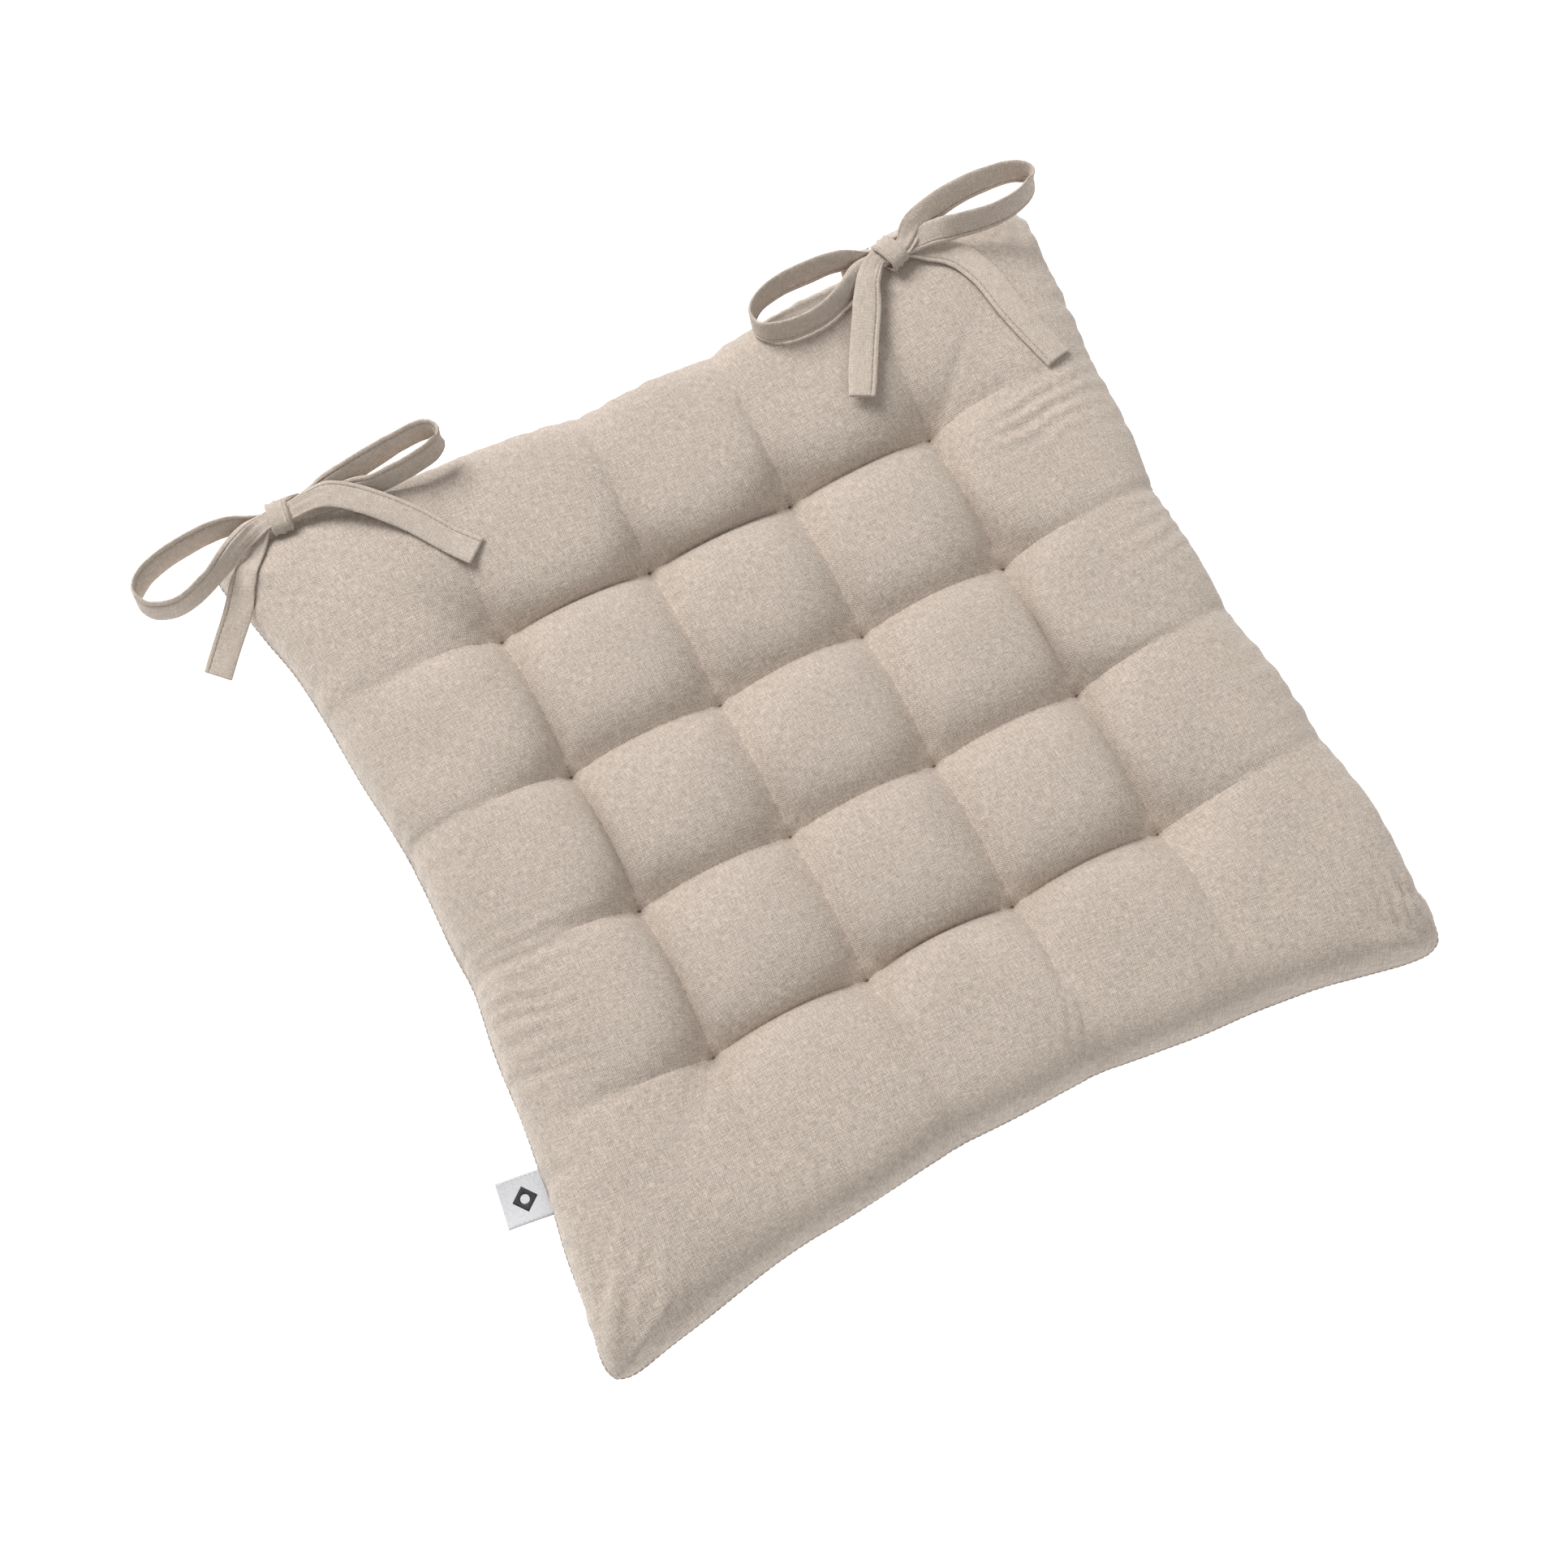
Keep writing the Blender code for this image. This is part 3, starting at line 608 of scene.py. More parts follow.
def ripple(x, y, side):
    """How far the cloth stands off its smooth shape at a point of the cut cloth: puckers along the
    seams, gathers in the corners, and the filling's lumps."""
    edge_x, edge_y = FLAT[-1] - abs(x), FLAT[-1] - abs(y)
    rise = LUMP_HEIGHT * chance(x / LUMP_SIZE, y / LUMP_SIZE, 3.1 * side)
    for along, inward, key in ((y, edge_x, 1 if x > 0 else 2), (x, edge_y, 3 if y > 0 else 4)):
        if inward < 60 * MM:
            place = along + 0.25 * inward * chance(along / (40 * MM), key, 5)
            sway = chance(place / PUCKER_SPACING, key + 9 * side, inward / (120 * MM))
            strength = 0.5 + 0.9 * abs(chance(along / (55 * MM), key, 8 * side))
            fade = min(inward / (3 * MM), 1) * math.exp(-inward / PUCKER_REACH)
            rise += PUCKER_HEIGHT * sway * strength * fade
    corner = math.hypot(edge_x, edge_y)
    if corner < 75 * MM:
        key = 11 + 2 * (x > 0) + (y > 0)
        gather = chance(math.atan2(edge_y, edge_x) * 5.5, key, side + corner / (60 * MM))
        rise += GATHER_HEIGHT * gather * bell(corner - GATHER_START, GATHER_REACH)
    return rise


def creases(flat):
    """How far the cloth is drawn in along the lines of tufts, at each point of the flat cloth."""
    drawn = np.zeros(len(flat))
    for axis in (0, 1):
        beyond = np.clip(np.abs(flat[:, 1 - axis]) - 1.5 * FLAT_PITCH, 0, None) / FLAT_OUTER
        fade = np.clip(1 - 1.3 * beyond, 0, None)
        drawn = np.maximum(drawn, np.exp(-from_lines(flat[:, axis]) / CREASE_WIDTH) * fade)
    return CREASE_DEPTH * drawn


def wrinkles(points):
    """How high the sets of wrinkles stand at each point."""
    rise = np.zeros(len(points))
    for x, y, angle, length, spread, spacing, height in WRINKLES:
        c, s = math.cos(math.radians(angle)), math.sin(math.radians(angle))
        dx, dy = points[:, 0] / MM - x, points[:, 1] / MM - y
        along, across = dx * c + dy * s, dy * c - dx * s
        near = np.flatnonzero((np.abs(along) < 2.2 * length) & (np.abs(across) < 2.2 * spread))
        for k in near:
            u, v = along[k] / length, across[k] / spread
            bend = 3.0 * chance(u * 1.2, v * 0.9, x)
            ridge = 1 - 2 * abs(math.sin(math.pi * (across[k] + bend) / spacing)) ** 0.8
            rise[k] += height * MM * ridge * math.exp(-(u * u) - v * v)
    return rise


def crinkle(mesh):
    """Gives the smooth stuffed shape its wrinkles, and draws it in at the creases and the tufts."""
    points = points_of(mesh)
    flat = flat_of(mesh)
    side = np.sign(points[:, 2] - SEAM)
    away = from_tufts(points)
    free = np.clip(points[:, 2] / FLOOR_REACH, 0, 1)
    slack = smooth_step(away / TAUT_REACH)
    rises = np.array([ripple(x, y, 1 if face > 0 else -1) for x, y, face in flat])
    rises += wrinkles(points) * (flat[:, 2] > 0.5)
    points += normals_of(mesh) * (rises * slack * free)[:, None]
    drawn = creases(flat) * np.maximum(slack, 0.3)
    drawn += DIMPLE_DEPTH * bell(away, DIMPLE_WIDTH) + TUFT_PIT_DEPTH * bell(away, TUFT_PIT_WIDTH)
    points[:, 2] -= side * drawn * free
    pinched = away < PINCH_REACH
    height = side[pinched] * (points[pinched, 2] - SEAM)
    points[pinched, 2] = SEAM + side[pinched] * np.maximum(height, PINCH)
    points[:, 2] = np.maximum(points[:, 2], LEAST_HEIGHT)
    move_points(mesh, points)


def panel(mesh, name, index):
    """One of the two panels, as an object with the cloth's thickness."""
    bm = bmesh.new()
    bm.from_mesh(mesh)
    bmesh.ops.delete(bm, geom=[face for face in bm.faces if face.material_index != index], context="FACES")
    for face in bm.faces:
        face.material_index = 0
    obj = mesh_object(name, bm, COTTON)
    fold_sharply(obj.data)
    thicken(obj, CLOTH, -1)
    return obj


def fold_sharply(mesh):
    """Marks the fold along each line of tufts, so that it is shaded as a fold."""
    flat = np.abs(flat_of(mesh)[:, :2])
    ends = np.empty(len(mesh.edges) * 2, np.int32)
    mesh.edges.foreach_get("vertices", ends)
    ends = ends.reshape(-1, 2)
    folded = np.zeros(len(mesh.edges), bool)
    for axis in (0, 1):
        on_line = from_lines(flat[:, axis]) < 0.1 * MM
        inside = flat[:, 1 - axis] < 1.5 * FLAT_PITCH + 0.45 * FLAT_OUTER
        folded |= (on_line & inside)[ends].all(axis=1)
    mesh.edges.foreach_set("use_edge_sharp", folded)


def filling(mesh):
    """The fibre inside: the stuffed shape, a little smaller than the covers all round."""
    points = points_of(mesh)
    rise = points[:, 2] - SEAM
    points -= normals_of(mesh) * np.minimum(FILLING_INSET, 0.45 * np.abs(rise))[:, None]
    points[:, 2] -= np.sign(rise) * np.minimum(creases(flat_of(mesh)), 0.5 * np.abs(rise))
    points[:, 2] -= (points[:, 2] - SEAM) * 0.95 * bell(from_tufts(points), DIMPLE_WIDTH)
    beyond = np.clip(np.abs(points[:, :2]) - TUFT_EDGE, 0, None) / (PAD_HALF - TUFT_EDGE)
    points[:, :2] -= np.sign(points[:, :2]) * beyond * FILLING_SEAM_GAP
    inside = mesh.copy()
    move_points(inside, points)
    inside.materials.clear()
    inside.materials.append(FIBRE)
    inside.shade_smooth()
    return link(bpy.data.objects.new("fibre_filling", inside))


def build_cushion():
    """The two panels and the filling. Returns the stuffed shape, which the rest lies on."""
    pad = sewn_panels()
    shape = stuff(pad)
    bpy.data.objects.remove(pad)
    soften_edges(shape)
    settle(shape)
    inside = filling(shape)
    fine = finer(shape)
    crinkle(fine)
    top, under = panel(fine, "top_panel", 0), panel(fine, "bottom_panel", 1)
    for piece, node in ((top, "top_cover"), (under, "bottom_cover")):
        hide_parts(node)
    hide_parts("filling")
    place_pieces((top, under), "pad")
    place_pieces((inside,), "pad")
    return fine


# ---------------- stitches

def stitches(name, line, length, pitch, diameter, material, sides=5):
    """Short rounded stitches along a line of points, in one mesh."""
    runs = runs_along(line)
    angles = [2 * math.pi * j / sides for j in range(sides)]
    circle = [Vector((math.cos(angle), math.sin(angle), 0)) * diameter / 2 for angle in angles]
    bm = bmesh.new()
    for k in range(int(runs[-1] // pitch)):
        rings = []
        for share, size in ((0, 0.35), (0.18, 1), (0.82, 1), (1, 0.35)):
            at = k * pitch + (pitch - length) / 2 + share * length
            here = point_at(at, runs, line)
            turn = (point_at(at + 0.2 * MM, runs, line) - here).to_track_quat("Z", "Y")
            rings.append([bm.verts.new(here + turn @ place * size) for place in circle])
        skin(bm, rings)
    return mesh_object(name, bm, material)


def skin(bm, rings):
    """Faces over a row of rings and at its two ends."""
    for one, other in zip(rings, rings[1:]):
        for j in range(len(one)):
            n = (j + 1) % len(one)
            bm.faces.new((one[j], one[n], other[n], other[j]))
    bm.faces.new(rings[0][::-1])
    bm.faces.new(rings[-1])


def joined(name, objects):
    bm = bmesh.new()
    for obj in objects:
        bm.from_mesh(obj.data)
    material = objects[0].data.materials[0]
    for obj in objects:
        bpy.data.objects.remove(obj)
    return mesh_object(name, bm, material)


def rim_line(mesh):
    """The seam's points in order round the pad, where they are and where they were on the cloth."""
    flat = flat_of(mesh)
    points = points_of(mesh)
    rim = [k for k, place in enumerate(flat) if abs(place[2]) < 0.01]
    rim.sort(key=lambda k: math.atan2(flat[k][1], flat[k][0]))
    return points[rim], flat[rim]


def build_seam(mesh):
    line, _ = rim_line(mesh)
    line = np.concatenate([line, line[:1]])
    seam = stitches("seam_stitches", line, 2.3 * MM, 2.8 * MM, 0.55 * MM, THREAD)
    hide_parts("seam_thread")
    place_pieces((seam,), "pad")


def twisted(name, path, diameter, material):
    """Two plies of yarn wound round each other along a closed path, a turn every 2 mm."""
    closed = np.array(path + path[:1])
    runs = runs_along(closed)
    turns = round(runs[-1] / (2 * MM))
    count = turns * 8
    curve = bpy.data.curves.new(name, "CURVE")
    curve.dimensions = "3D"
    curve.bevel_depth = diameter * 0.27
    curve.bevel_resolution = 1
    for ply in (0, math.pi):
        spline = curve.splines.new("POLY")
        spline.points.add(count - 1)
        spline.use_cyclic_u = True
        for k in range(count):
            here = point_at(runs[-1] * k / count, runs, closed)
            angle = 2 * math.pi * turns * k / count + ply
            across = Vector((0, math.cos(angle), 0)) + Vector((1, 0, 1)).normalized() * math.sin(angle)
            spline.points[k].co = (*(here + across * diameter * 0.24), 1)
    curve.materials.append(material)
    return link(bpy.data.objects.new(name, curve))


def build_tufts(tree):
    """Each tuft is a loop of two-ply thread through the pad, pulled down into its dimple."""
    reach, corner = 1.5 * MM, 0.6 * MM
    for node, centre in TUFTS.items():
        place = Vector(tufted(centre))
        high = surface(tree, place.x, place.y) + 0.4 * MM
        low = 2 * SEAM - high
        outline = ((-reach, low + corner), (-reach, high - corner), (corner - reach, high),
                   (reach - corner, high), (reach, high - corner), (reach, low + corner),
                   (reach - corner, low), (corner - reach, low))
        loop = [(place.x + x, place.y, z) for x, z in outline]
        # The thread's dark colour is partly the thread and partly painted shade of the tuft's pit.
        thread = twisted(node.replace("thread", "stitch"), loop, 1.1 * MM, TUFT_THREAD_AND_PIT_SHADE)
        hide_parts(node)
        place_pieces((thread,), "pad")


# ---------------- ties

# Routes in millimetres from the knot: x, y, z, then the direction across the tape if it isn't UP,
# then its width if it isn't full. G is gathered; F, M and T are the heights of the knot's layers.
G = TIE_GATHERED
F, M, T = -1.5, 0.0, 1.5
UP = (0, 0.3, 0.95)


def through_knot(height, way=1):
    """The gathered stretch of a tape in the knot, from left to right, or the other way round."""
    return [(x * way, 0, height, 0, 1, 0, G) for x in (-7, 0, 7)]


LEFT_BOW_LEFT_LOOP = [
    (-23, 7, -1, *UP, 12), (-35, 6, 2), (-52, 4, 2), (-64, 0, 1), (-70, -7, 0, 0.1, 0.3, 0.95),
    (-66, -15, -1), (-54, -18, -1, 0, 0.25, 0.95), (-38, -13, 0), (-20, -4, 2, 0, 0.8, 0.6, 10),
    *through_knot(T), (15, -1, 5, 0.1, 1, 0.1, 10), (24, -4, 8, 0.2, 1, 0.1, 12),
    (36, -13, 7, 0.4, 0.9, 0), (50, -27, 3, 0.6, 0.8, 0), (61, -42, 0, 0.75, 0.65, 0),
    (70, -54, 0, 0.75, 0.65, 0)]
LEFT_BOW_RIGHT_LOOP = [
    (-3, 0, F, 0, 1, 0, G), (7, 0, F, 0, 1, 0, G), (20, -1, -2, 0, 0.9, 0.4, 10),
    (33, -4, 1, 0, 0.5, 0.85, 12), (46, -7, 5), (60, -8, 9), (72, -7, 12), (77, -3, 14), (73, 2, 15),
    (60, 3, 13), (45, 3, 9, 0, 0.4, 0.9), (29, 3, 4, 0, 0.6, 0.8, 12), (17, 2, 0, 0, 0.95, 0.3, 10),
    *through_knot(M, way=-1), (-17, -8, -4, -0.5, 0.85, 0.1, 11), (-27, -19, -8, -0.8, 0.6, 0),
    (-37, -31, -11, -0.75, 0.65, 0), (-47, -41, -15, -0.7, 0.7, 0), (-54, -48, -18, -0.7, 0.7, 0)]
RIGHT_BOW_LEFT_LOOP = [
    (-23, 7, 0, 0, 0.4, 0.9, 12), (-36, 8, 1, 0, 0.4, 0.9), (-52, 8, 1, 0, 0.35, 0.95), (-64, 5, 0),
    (-70, -2, -1), (-67, -11, -2), (-55, -15, -2), (-40, -14, -1, 0, 0.4, 0.9),
    (-26, -8, 0, 0, 0.6, 0.8, 12), (-16, -2, -1, 0, 0.9, 0.3, 10), *through_knot(-T),
    (18, -6, -3, 0.4, 0.9, 0, 11), (28, -14, -3, 0.8, 0.6, 0), (34, -28, -3, 1, 0.2, 0),
    (37, -48, -3, 1, 0.1, 0), (41, -66, -5, 1, 0.15, 0), (44, -78, -8, 1, 0.2, 0)]
RIGHT_BOW_RIGHT_LOOP = [
    (-3, 0, -F, 0, 1, 0, G), (7, 0, -F, 0, 1, 0, G), (15, 6, 6, -0.4, 0.8, 0.5, 11),
    (28, 7, 11, -0.2, 0.6, 0.8), (42, 7, 14, 0, 0.5, 0.85), (56, 6, 15, 0, 0.4, 0.9), (66, 3, 15),
    (70, -2, 14), (64, -7, 12), (50, -8, 9, 0, 0.4, 0.9), (34, -5, 7, 0, 0.5, 0.85),
    (19, -1, 4, 0, 0.9, 0.4, 11), *through_knot(-M, way=-1), (-15, -8, 2, -0.9, 0.5, 0, 11),
    (-22, -20, 1, -0.9, 0.4, 0), (-31, -34, 0, -0.9, 0.45, 0), (-38, -46, 0, -0.9, 0.45, 0),
    (-44, -57, 0, -0.9, 0.45, 0, 12)]

# The tape's section: places across it, -1 to 1, with a stitched groove near one edge.
GROOVE = 0.66
SECTION = (-1, -0.985, -0.94, -0.84, -0.6, -0.3, 0, 0.3, 0.52, 0.60, 0.635, 0.66, 0.685, 0.72,
           0.8, 0.9, 0.96, 0.99, 1)
ROUTE_STEP = 1.5 * MM
REST, REST_SOFTNESS = 0.35 * MM, 0.5 * MM


def smooth_route(keys):
    """(place, direction across, width) read off a Catmull-Rom curve through the keys."""
    places = [Vector(key[0:3]) * MM for key in keys]
    across = [Vector(key[3:6] or UP).normalized() for key in keys]
    widths = [(key[6] if len(key) > 6 else TIE_WIDTH) * MM for key in keys]
    last = len(keys) - 1
    route = []
    for k in range(last):
        p0, p1 = places[max(k - 1, 0)], places[k]
        p2, p3 = places[k + 1], places[min(k + 2, last)]
        steps = max(1, round((p2 - p1).length / ROUTE_STEP))
        for t in (step / steps for step in range(steps)):
            place = (2 * p1 + (p2 - p0) * t + (2 * p0 - 5 * p1 + 4 * p2 - p3) * t ** 2
                     + (3 * p1 - p0 - 3 * p2 + p3) * t ** 3) / 2
            ease = float(smooth_step(t))
            width = widths[k] + (widths[k + 1] - widths[k]) * ease
            route.append((place, across[k].lerp(across[k + 1], ease).normalized(), width))
    route.append((places[last], across[last], widths[last]))
    return route


def half_thickness(a, groove):
    """Half the tape's thickness at a place across it: soft folded edges, a slight puff between
    them, and the groove that its row of stitches pulls."""
    edge = max(1 - abs(a) ** 7, 0) ** 0.5
    puff = 1 + 0.18 * (1 - a * a)
    pull = 0.62 * math.exp(-(((a - groove) / 0.05) ** 2))
    return TIE_THICKNESS / 2 * max(edge * puff - pull, 0.04)


class Tape:
    """One length of tie tape: its rings of points along a route, and the lines of its stitches."""

    def __init__(self, origin, keys, groove_side, tree, seed, closed=False):
        self.closed = closed
        self.groove = GROOVE * groove_side
        self.section = [a * groove_side for a in SECTION]
        self.tree = tree
        self.seed = seed
        self.route = [(origin + place, across, width) for place, across, width in smooth_route(keys)]
        if closed:
            self.route.pop()
        self.runs = runs_along([place for place, _, _ in self.route])
        self.frames = [self.frame_at(k) for k in range(len(self.route))]
        self.rings = []
        self.rows = {1: [], -1: []}
        for k in range(len(self.route)):
            self.add_ring(k)

    def frame_at(self, k):
        """The directions across the tape and out of its upper face."""
        last = len(self.route) - 1
        if self.closed:
            before, after = self.route[k - 1][0], self.route[(k + 1) % (last + 1)][0]
        else:
            before, after = self.route[max(k - 1, 0)][0], self.route[min(k + 1, last)][0]
        along = (after - before).normalized()
        across = self.route[k][1]
        across = (across - along * across.dot(along)).normalized()
        return across, along.cross(across)

    def sheet_point(self, k, a):
        """A point of the tape's middle surface, gathered into pleats where the knot squeezes it."""
        place, _, width = self.route[k]
        across, out = self.frames[k]
        run = self.runs[k]
        squeeze = smooth_step((TIE_WIDTH * MM - width) / ((TIE_WIDTH - TIE_GATHERED) * MM))
        pleat = 0.55 * MM * float(squeeze) * math.cos(2.6 * math.pi * a + self.seed)
        cup = 0.5 * MM * chance(run / (30 * MM), self.seed, 0) * (a * a - 0.3)
        sway = 0.35 * MM * chance(run / (9 * MM), self.seed + 4, a)
        wander = 0.5 * MM * chance(run / (25 * MM), self.seed + 8, 0)
        return place + across * (a * width / 2 + wander) + out * (pleat + cup + sway)

    def lifted(self, k, points):
        """The points of one ring, resting on the cushion where they would lie in it: a flat tape
        bends over it point by point, and an upright one stands on it."""
        if self.tree is None:
            return points
        upright = abs(self.frames[k][0].z)
        sunk = [surface(self.tree, p.x, p.y) + TIE_THICKNESS / 2 + REST - p.z for p in points]
        most = max(max(sunk), 0)
        moved = []
        for p, depth in zip(points, sunk):
            soft = REST_SOFTNESS * math.log1p(math.exp(min(depth / REST_SOFTNESS, 50)))
            moved.append(p + Vector((0, 0, upright * most + (1 - upright) * soft)))
        return moved

    def add_ring(self, k):
        out = self.frames[k][1]
        line = self.lifted(k, [self.sheet_point(k, a) for a in self.section])
        halves = [half_thickness(a, self.groove) for a in self.section]
        upper = [p + out * half for p, half in zip(line, halves)]
        lower = [p - out * half for p, half in zip(line, halves)]
        self.rings.append(upper + lower[-2:0:-1])
        groove_at = SECTION.index(GROOVE)
        for side, points in ((1, upper), (-1, lower)):
            self.rows[side].append(points[groove_at] + out * side * 0.1 * MM)

    def add_to(self, bm):
        """Adds the tape to a mesh. Its open ends show the folded cloth's hollow."""
        rings = [[bm.verts.new(p) for p in ring] for ring in self.rings]
        runs = [*self.runs, self.runs[-1] + ROUTE_STEP]
        cloth = bm.loops.layers.uv.verify()
        spots = [a * TIE_WIDTH / 2 * MM for a in self.section]
        spots += [2 * spots[-1] - a for a in spots[-2:0:-1]] + [2 * spots[-1] - spots[0]]
        for k in range(len(rings) if self.closed else len(rings) - 1):
            one, other = rings[k], rings[(k + 1) % len(rings)]
            for j in range(len(one)):
                n = (j + 1) % len(one)
                face = bm.faces.new((one[j], one[n], other[n], other[j]))
                corners = ((spots[j], runs[k]), (spots[j + 1], runs[k]),
                           (spots[j + 1], runs[k + 1]), (spots[j], runs[k + 1]))
                for loop, corner in zip(face.loops, corners):
                    loop[cloth].uv = corner
        if not self.closed:
            self.add_end(bm, rings[0], rings[1])
            self.add_end(bm, rings[-1], rings[-2], flip=True)

    def add_end(self, bm, ring, next_ring, flip=False):
        """Turns the tape's end in on itself, so that it shows a slot between its two layers."""
        centre = sum((vert.co for vert in ring), Vector()) / len(ring)
        inward = (next_ring[0].co - ring[0].co).normalized()
        previous = ring
        for share, depth in ((0.55, -0.15 * MM), (0.3, 0.5 * MM), (0.25, 2.5 * MM)):
            row = []
            for j, vert in enumerate(ring):
                mirror = ring[(2 * (len(SECTION) - 1) - j) % len(ring)]
                between = centre + ((vert.co + mirror.co) / 2 - centre) * (0.93 + 0.05 * share)
                row.append(bm.verts.new(between + (vert.co - mirror.co) / 2 * share + inward * depth))
            for j in range(len(ring)):
                n = (j + 1) % len(ring)
                quad = (previous[j], row[j], row[n], previous[n])
                bm.faces.new(quad[::-1] if flip else quad)
            previous = row
        bm.faces.new(previous if flip else previous[::-1])


def build_tape(name, tapes, body, node):
    """One tie as a closed mesh, and its stitches as a piece on it."""
    bm = bmesh.new()
    bm.loops.layers.uv.new("cloth")
    for tape in tapes:
        tape.add_to(bm)
    bmesh.ops.recalc_face_normals(bm, faces=bm.faces)
    obj = mesh_object(name, bm, TAPE_COTTON)
    rows = [np.array(row) for tape in tapes for row in tape.rows.values()]
    sewn = [stitches(f"{name}_row_{k}", row, 2.0 * MM, 2.7 * MM, 0.34 * MM, THREAD, sides=4)
            for k, row in enumerate(rows)]
    stitching = joined(f"{name}_stitching", sewn)
    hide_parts(node)
    place_pieces((obj,), body)
    place_pieces((stitching,), body)


def rim_height(mesh):
    """y of the seam on the side of the ties, as a function of x."""
    points, flat = rim_line(mesh)
    back = points[flat[:, 1] > FLAT[-1] - 0.01 * MM]
    back = back[np.argsort(back[:, 0])]
    return lambda x: float(np.interp(x, back[:, 0], back[:, 1]))


def root_keys(knot, side, rim):
    """The sewn end of a tape: out of the seam, up behind the pad's edge and to the knot."""
    x = side * ROOT_SPREAD
    at = knot.x + x * MM
    lean = (rim(at + 6 * MM) - rim(at - 6 * MM)) / (12 * MM)
    inside, behind = (rim(at) - 2.5 * MM - knot.y) / MM, (rim(at) + 5 * MM - knot.y) / MM
    drop = (SEAM - knot.z) / MM
    return [(x, y, drop + rise, 1, lean, 0)
            for y, rise in ((inside, 0), (inside + 3.5, 0.3), (behind, 4), (behind, 11))]


def wrap_keys(half_y, half_z, skew):
    """A closed turn round the layers in the knot, slightly askew."""
    keys = []
    for k in range(13):
        angle = 2 * math.pi * k / 12 + 0.4
        c, s = math.cos(angle), math.sin(angle)
        y = math.copysign(abs(c) ** 0.75, c) * half_y
        z = math.copysign(abs(s) ** 0.75, s) * half_z
        keys.append((skew * y, y, z, 1, -skew, 0.05 * s, WRAP_WIDTH))
    return keys


def build_bow(side, loops, groove_side, skew, tree, rim, seed):
    """Two tapes from the seam, tied in a bow: the outer one makes the loop on the left, the knot's
    own one goes round it and makes the loop on the right."""
    knot = Vector(joint_of(f"{side}_bow_swing")["pos_m"]) + Vector(KNOTS[side]) * MM
    body = f"{side}_bow"
    outer_root = root_keys(knot, -1, rim) + [(-10, 6, -6, 0.7, 0, 0.7, 10)]
    own_root = root_keys(knot, 1, rim) + [(8, 8, -6, 0.8, 0, 0.6, 10), (1, 6.4, -1, 0.1, 0, 1, 6)]
    outer = Tape(knot, outer_root + loops[0], groove_side, tree, seed)
    own = Tape(knot, loops[1], groove_side, tree, seed + 2.3)
    turn = Tape(knot, wrap_keys(6.4, 3.7, skew), groove_side, None, seed + 5.1, closed=True)
    root = Tape(knot, own_root, groove_side, tree, seed + 7.7)
    build_tape(f"{side}_outer_tape", (outer,), body, f"{side}_bow_outer_tie")
    build_tape(f"{side}_knot_tape", (own, turn, root), body, f"{side}_bow_knot_tie")
    low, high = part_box(f"{side}_tie_stitching")
    bar = np.linspace((low.x, high.y, low.z), (high.x, high.y, high.z), 30)
    sewn = stitches(f"{side}_root_stitches", bar, 1.6 * MM, 2.2 * MM, 0.7 * MM, THREAD)
    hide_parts(f"{side}_tie_stitching")
    place_pieces((sewn,), body)


# ---------------- label

def label_point(out, along, lift):
    """A point of the label: out from the seam, along it, and above its middle; it droops and
    curls a little."""
    joint = joint_of("label_flip")
    axis = Vector(joint["axis"]).normalized()
    outward = Vector((0, 0, 1)).cross(axis)
    share = max(out, 0) / LABEL_REACH
    droop = -2.2 * MM * share ** 2
    curl = 0.9 * MM * (along / LABEL_HALF_WIDTH) ** 2 * share
    return Vector(joint["pos_m"]) + outward * out + axis * along + Vector((0, 0, lift + droop + curl))


def label_outline():
    """Where the ribbon runs, out from the seam and above the label's middle: out along the upper
    layer, round the fold and back along the lower one."""
    length, gap = LABEL_REACH + LABEL_INSIDE, LABEL_HALF_GAP
    upper = [(length * k / 20 - LABEL_INSIDE, gap) for k in range(20)]
    fold = [(LABEL_REACH - gap + gap * math.sin(a), gap * math.cos(a)) for a in np.linspace(0, math.pi, 7)]
    return upper + fold + [(out, -gap) for out, _ in reversed(upper)]


def label_stitching():
    """A row of stitches along each edge of the label, on both its faces."""
    rows = []
    for edge in (-1, 1):
        for face_side in (1, -1):
            along, lift = edge * (LABEL_HALF_WIDTH - 0.9 * MM), face_side * ON_LABEL
            places = np.linspace(-2 * MM, LABEL_REACH - 0.6 * MM, 30)
            line = np.array([label_point(out, along, lift) for out in places])
            rows.append(stitches(f"label_row_{edge}_{face_side}", line, 1.3 * MM, 2.0 * MM, 0.16 * MM,
                                 GREY_THREAD, sides=4))
    return joined("label_stitching", rows)


def build_label():
    outline = label_outline()
    runs = runs_along(outline)
    across = 20
    bm = bmesh.new()
    cloth = bm.loops.layers.uv.new("cloth")
    rows = [[bm.verts.new(label_point(out, LABEL_HALF_WIDTH * (2 * j / across - 1), lift))
             for j in range(across + 1)] for out, lift in outline]
    for k, (row, following) in enumerate(zip(rows, rows[1:])):
        for j in range(across):
            face = bm.faces.new((row[j], row[j + 1], following[j + 1], following[j]))
            corners = ((j, runs[k]), (j + 1, runs[k]), (j + 1, runs[k + 1]), (j, runs[k + 1]))
            for loop, (step, run) in zip(face.loops, corners):
                loop[cloth].uv = (step * 2 * LABEL_HALF_WIDTH / across, run)
    bmesh.ops.recalc_face_normals(bm, faces=bm.faces)
    tab = mesh_object("label_ribbon", bm, RIBBON)
    thicken(tab, LABEL_CLOTH)
    stitching = label_stitching()
    mark = build_mark(ON_LABEL)
    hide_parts("label_tab")
    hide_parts("label_print")
    place_pieces((tab,), "label")
    place_pieces((stitching,), "label")
    place_pieces((mark,), "label")


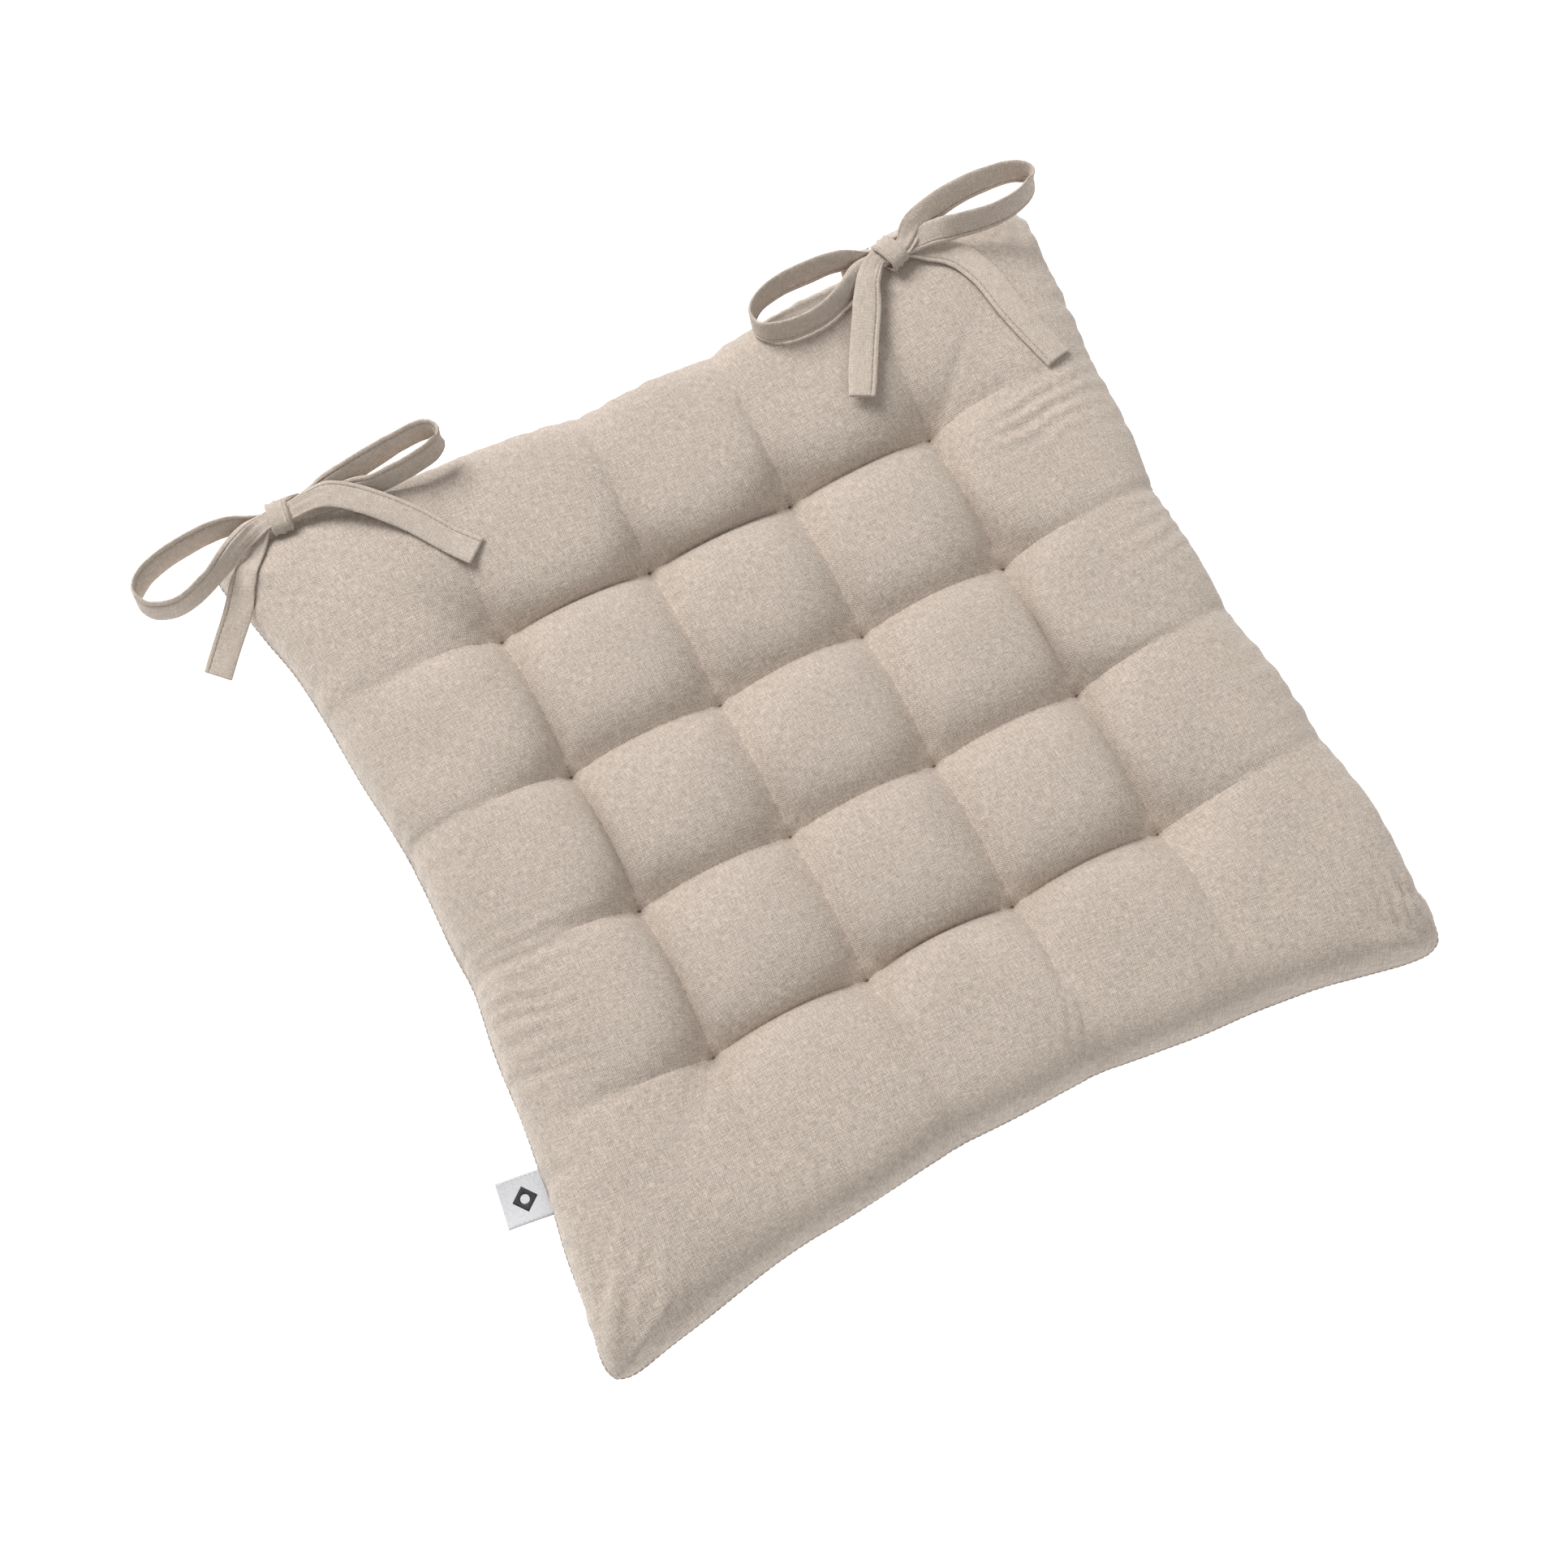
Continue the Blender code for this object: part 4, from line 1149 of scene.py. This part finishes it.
def build_mark(lift):
    """A plain diamond with a round hole, printed on the label's upper face."""
    hole, half_diagonal, middle_out = 2 * MM, 5.5 * MM, LABEL_REACH / 2
    bm = bmesh.new()
    rings = []
    for k in range(48):
        angle = 2 * math.pi * k / 48
        c, s = math.cos(angle), math.sin(angle)
        outer = half_diagonal / (abs(c) + abs(s))
        ring = []
        for share in (0, 0.33, 0.67, 1):
            radius = hole + (outer - hole) * share
            ring.append(bm.verts.new(label_point(middle_out + radius * c, radius * s, lift)))
        rings.append(ring)
    for one, other in zip(rings, rings[1:] + rings[:1]):
        for j in range(3):
            bm.faces.new((one[j], one[j + 1], other[j + 1], other[j]))
    bmesh.ops.recalc_face_normals(bm, faces=bm.faces)
    mark = mesh_object("label_mark", bm, INK)
    thicken(mark, 0.06 * MM)
    return mark


# ---------------- camera, floor and light

def aim(obj, target):
    obj.rotation_mode = "QUATERNION"
    obj.rotation_quaternion = (Vector(target) - obj.location).to_track_quat("-Z", "Y")


def build_camera():
    azimuth, elevation, distance = math.radians(-27.1), math.radians(72.8), 1.057
    target = Vector((-0.0257, -0.0110, SEAM))
    back = Vector((math.sin(azimuth) * math.cos(elevation), -math.cos(azimuth) * math.cos(elevation),
                   math.sin(elevation)))
    data = bpy.data.cameras.new("camera")
    data.lens, data.sensor_width = 56, 36
    camera = link(bpy.data.objects.new("camera", data))
    camera.location = target + back * distance
    aim(camera, target)
    bpy.context.scene.camera = camera


def softbox(name, place, watts, size):
    data = bpy.data.lights.new(name, "AREA")
    data.energy, data.size = watts, size
    lamp = link(bpy.data.objects.new(name, data))
    lamp.location = place
    aim(lamp, (0, 0, 0))


def build_studio():
    bm = bmesh.new()
    bmesh.ops.create_grid(bm, x_segments=1, y_segments=1, size=3)
    floor = mesh_object("floor", bm, paper_floor("pale_floor"), smooth=False)
    floor.location.z = -0.2 * MM
    softbox("key", (-0.8, 2.3, 2.5), 130, 1.9)
    softbox("fill", (0.4, -1.6, 2.2), 15, 1.5)
    world = bpy.data.worlds.new("studio")
    bpy.context.scene.world = world
    world.use_nodes = True
    light = world.node_tree.nodes["Background"]
    light.inputs["Color"].default_value = grey(1.0)
    light.inputs["Strength"].default_value = 0.34
    bpy.context.scene.view_settings.view_transform = "Standard"


# ---------------- main

def main():
    build_camera()
    build_studio()
    cushion = build_cushion()
    bm = bmesh.new()
    bm.from_mesh(cushion)
    tree = BVHTree.FromBMesh(bm)
    bm.free()
    rim = rim_height(cushion)
    build_seam(cushion)
    build_tufts(tree)
    build_bow("left", (LEFT_BOW_LEFT_LOOP, LEFT_BOW_RIGHT_LOOP), 1, 0.12, tree, rim, 1.7)
    build_bow("right", (RIGHT_BOW_LEFT_LOOP, RIGHT_BOW_RIGHT_LOOP), -1, -0.35, tree, rim, 13.4)
    build_label()


main()
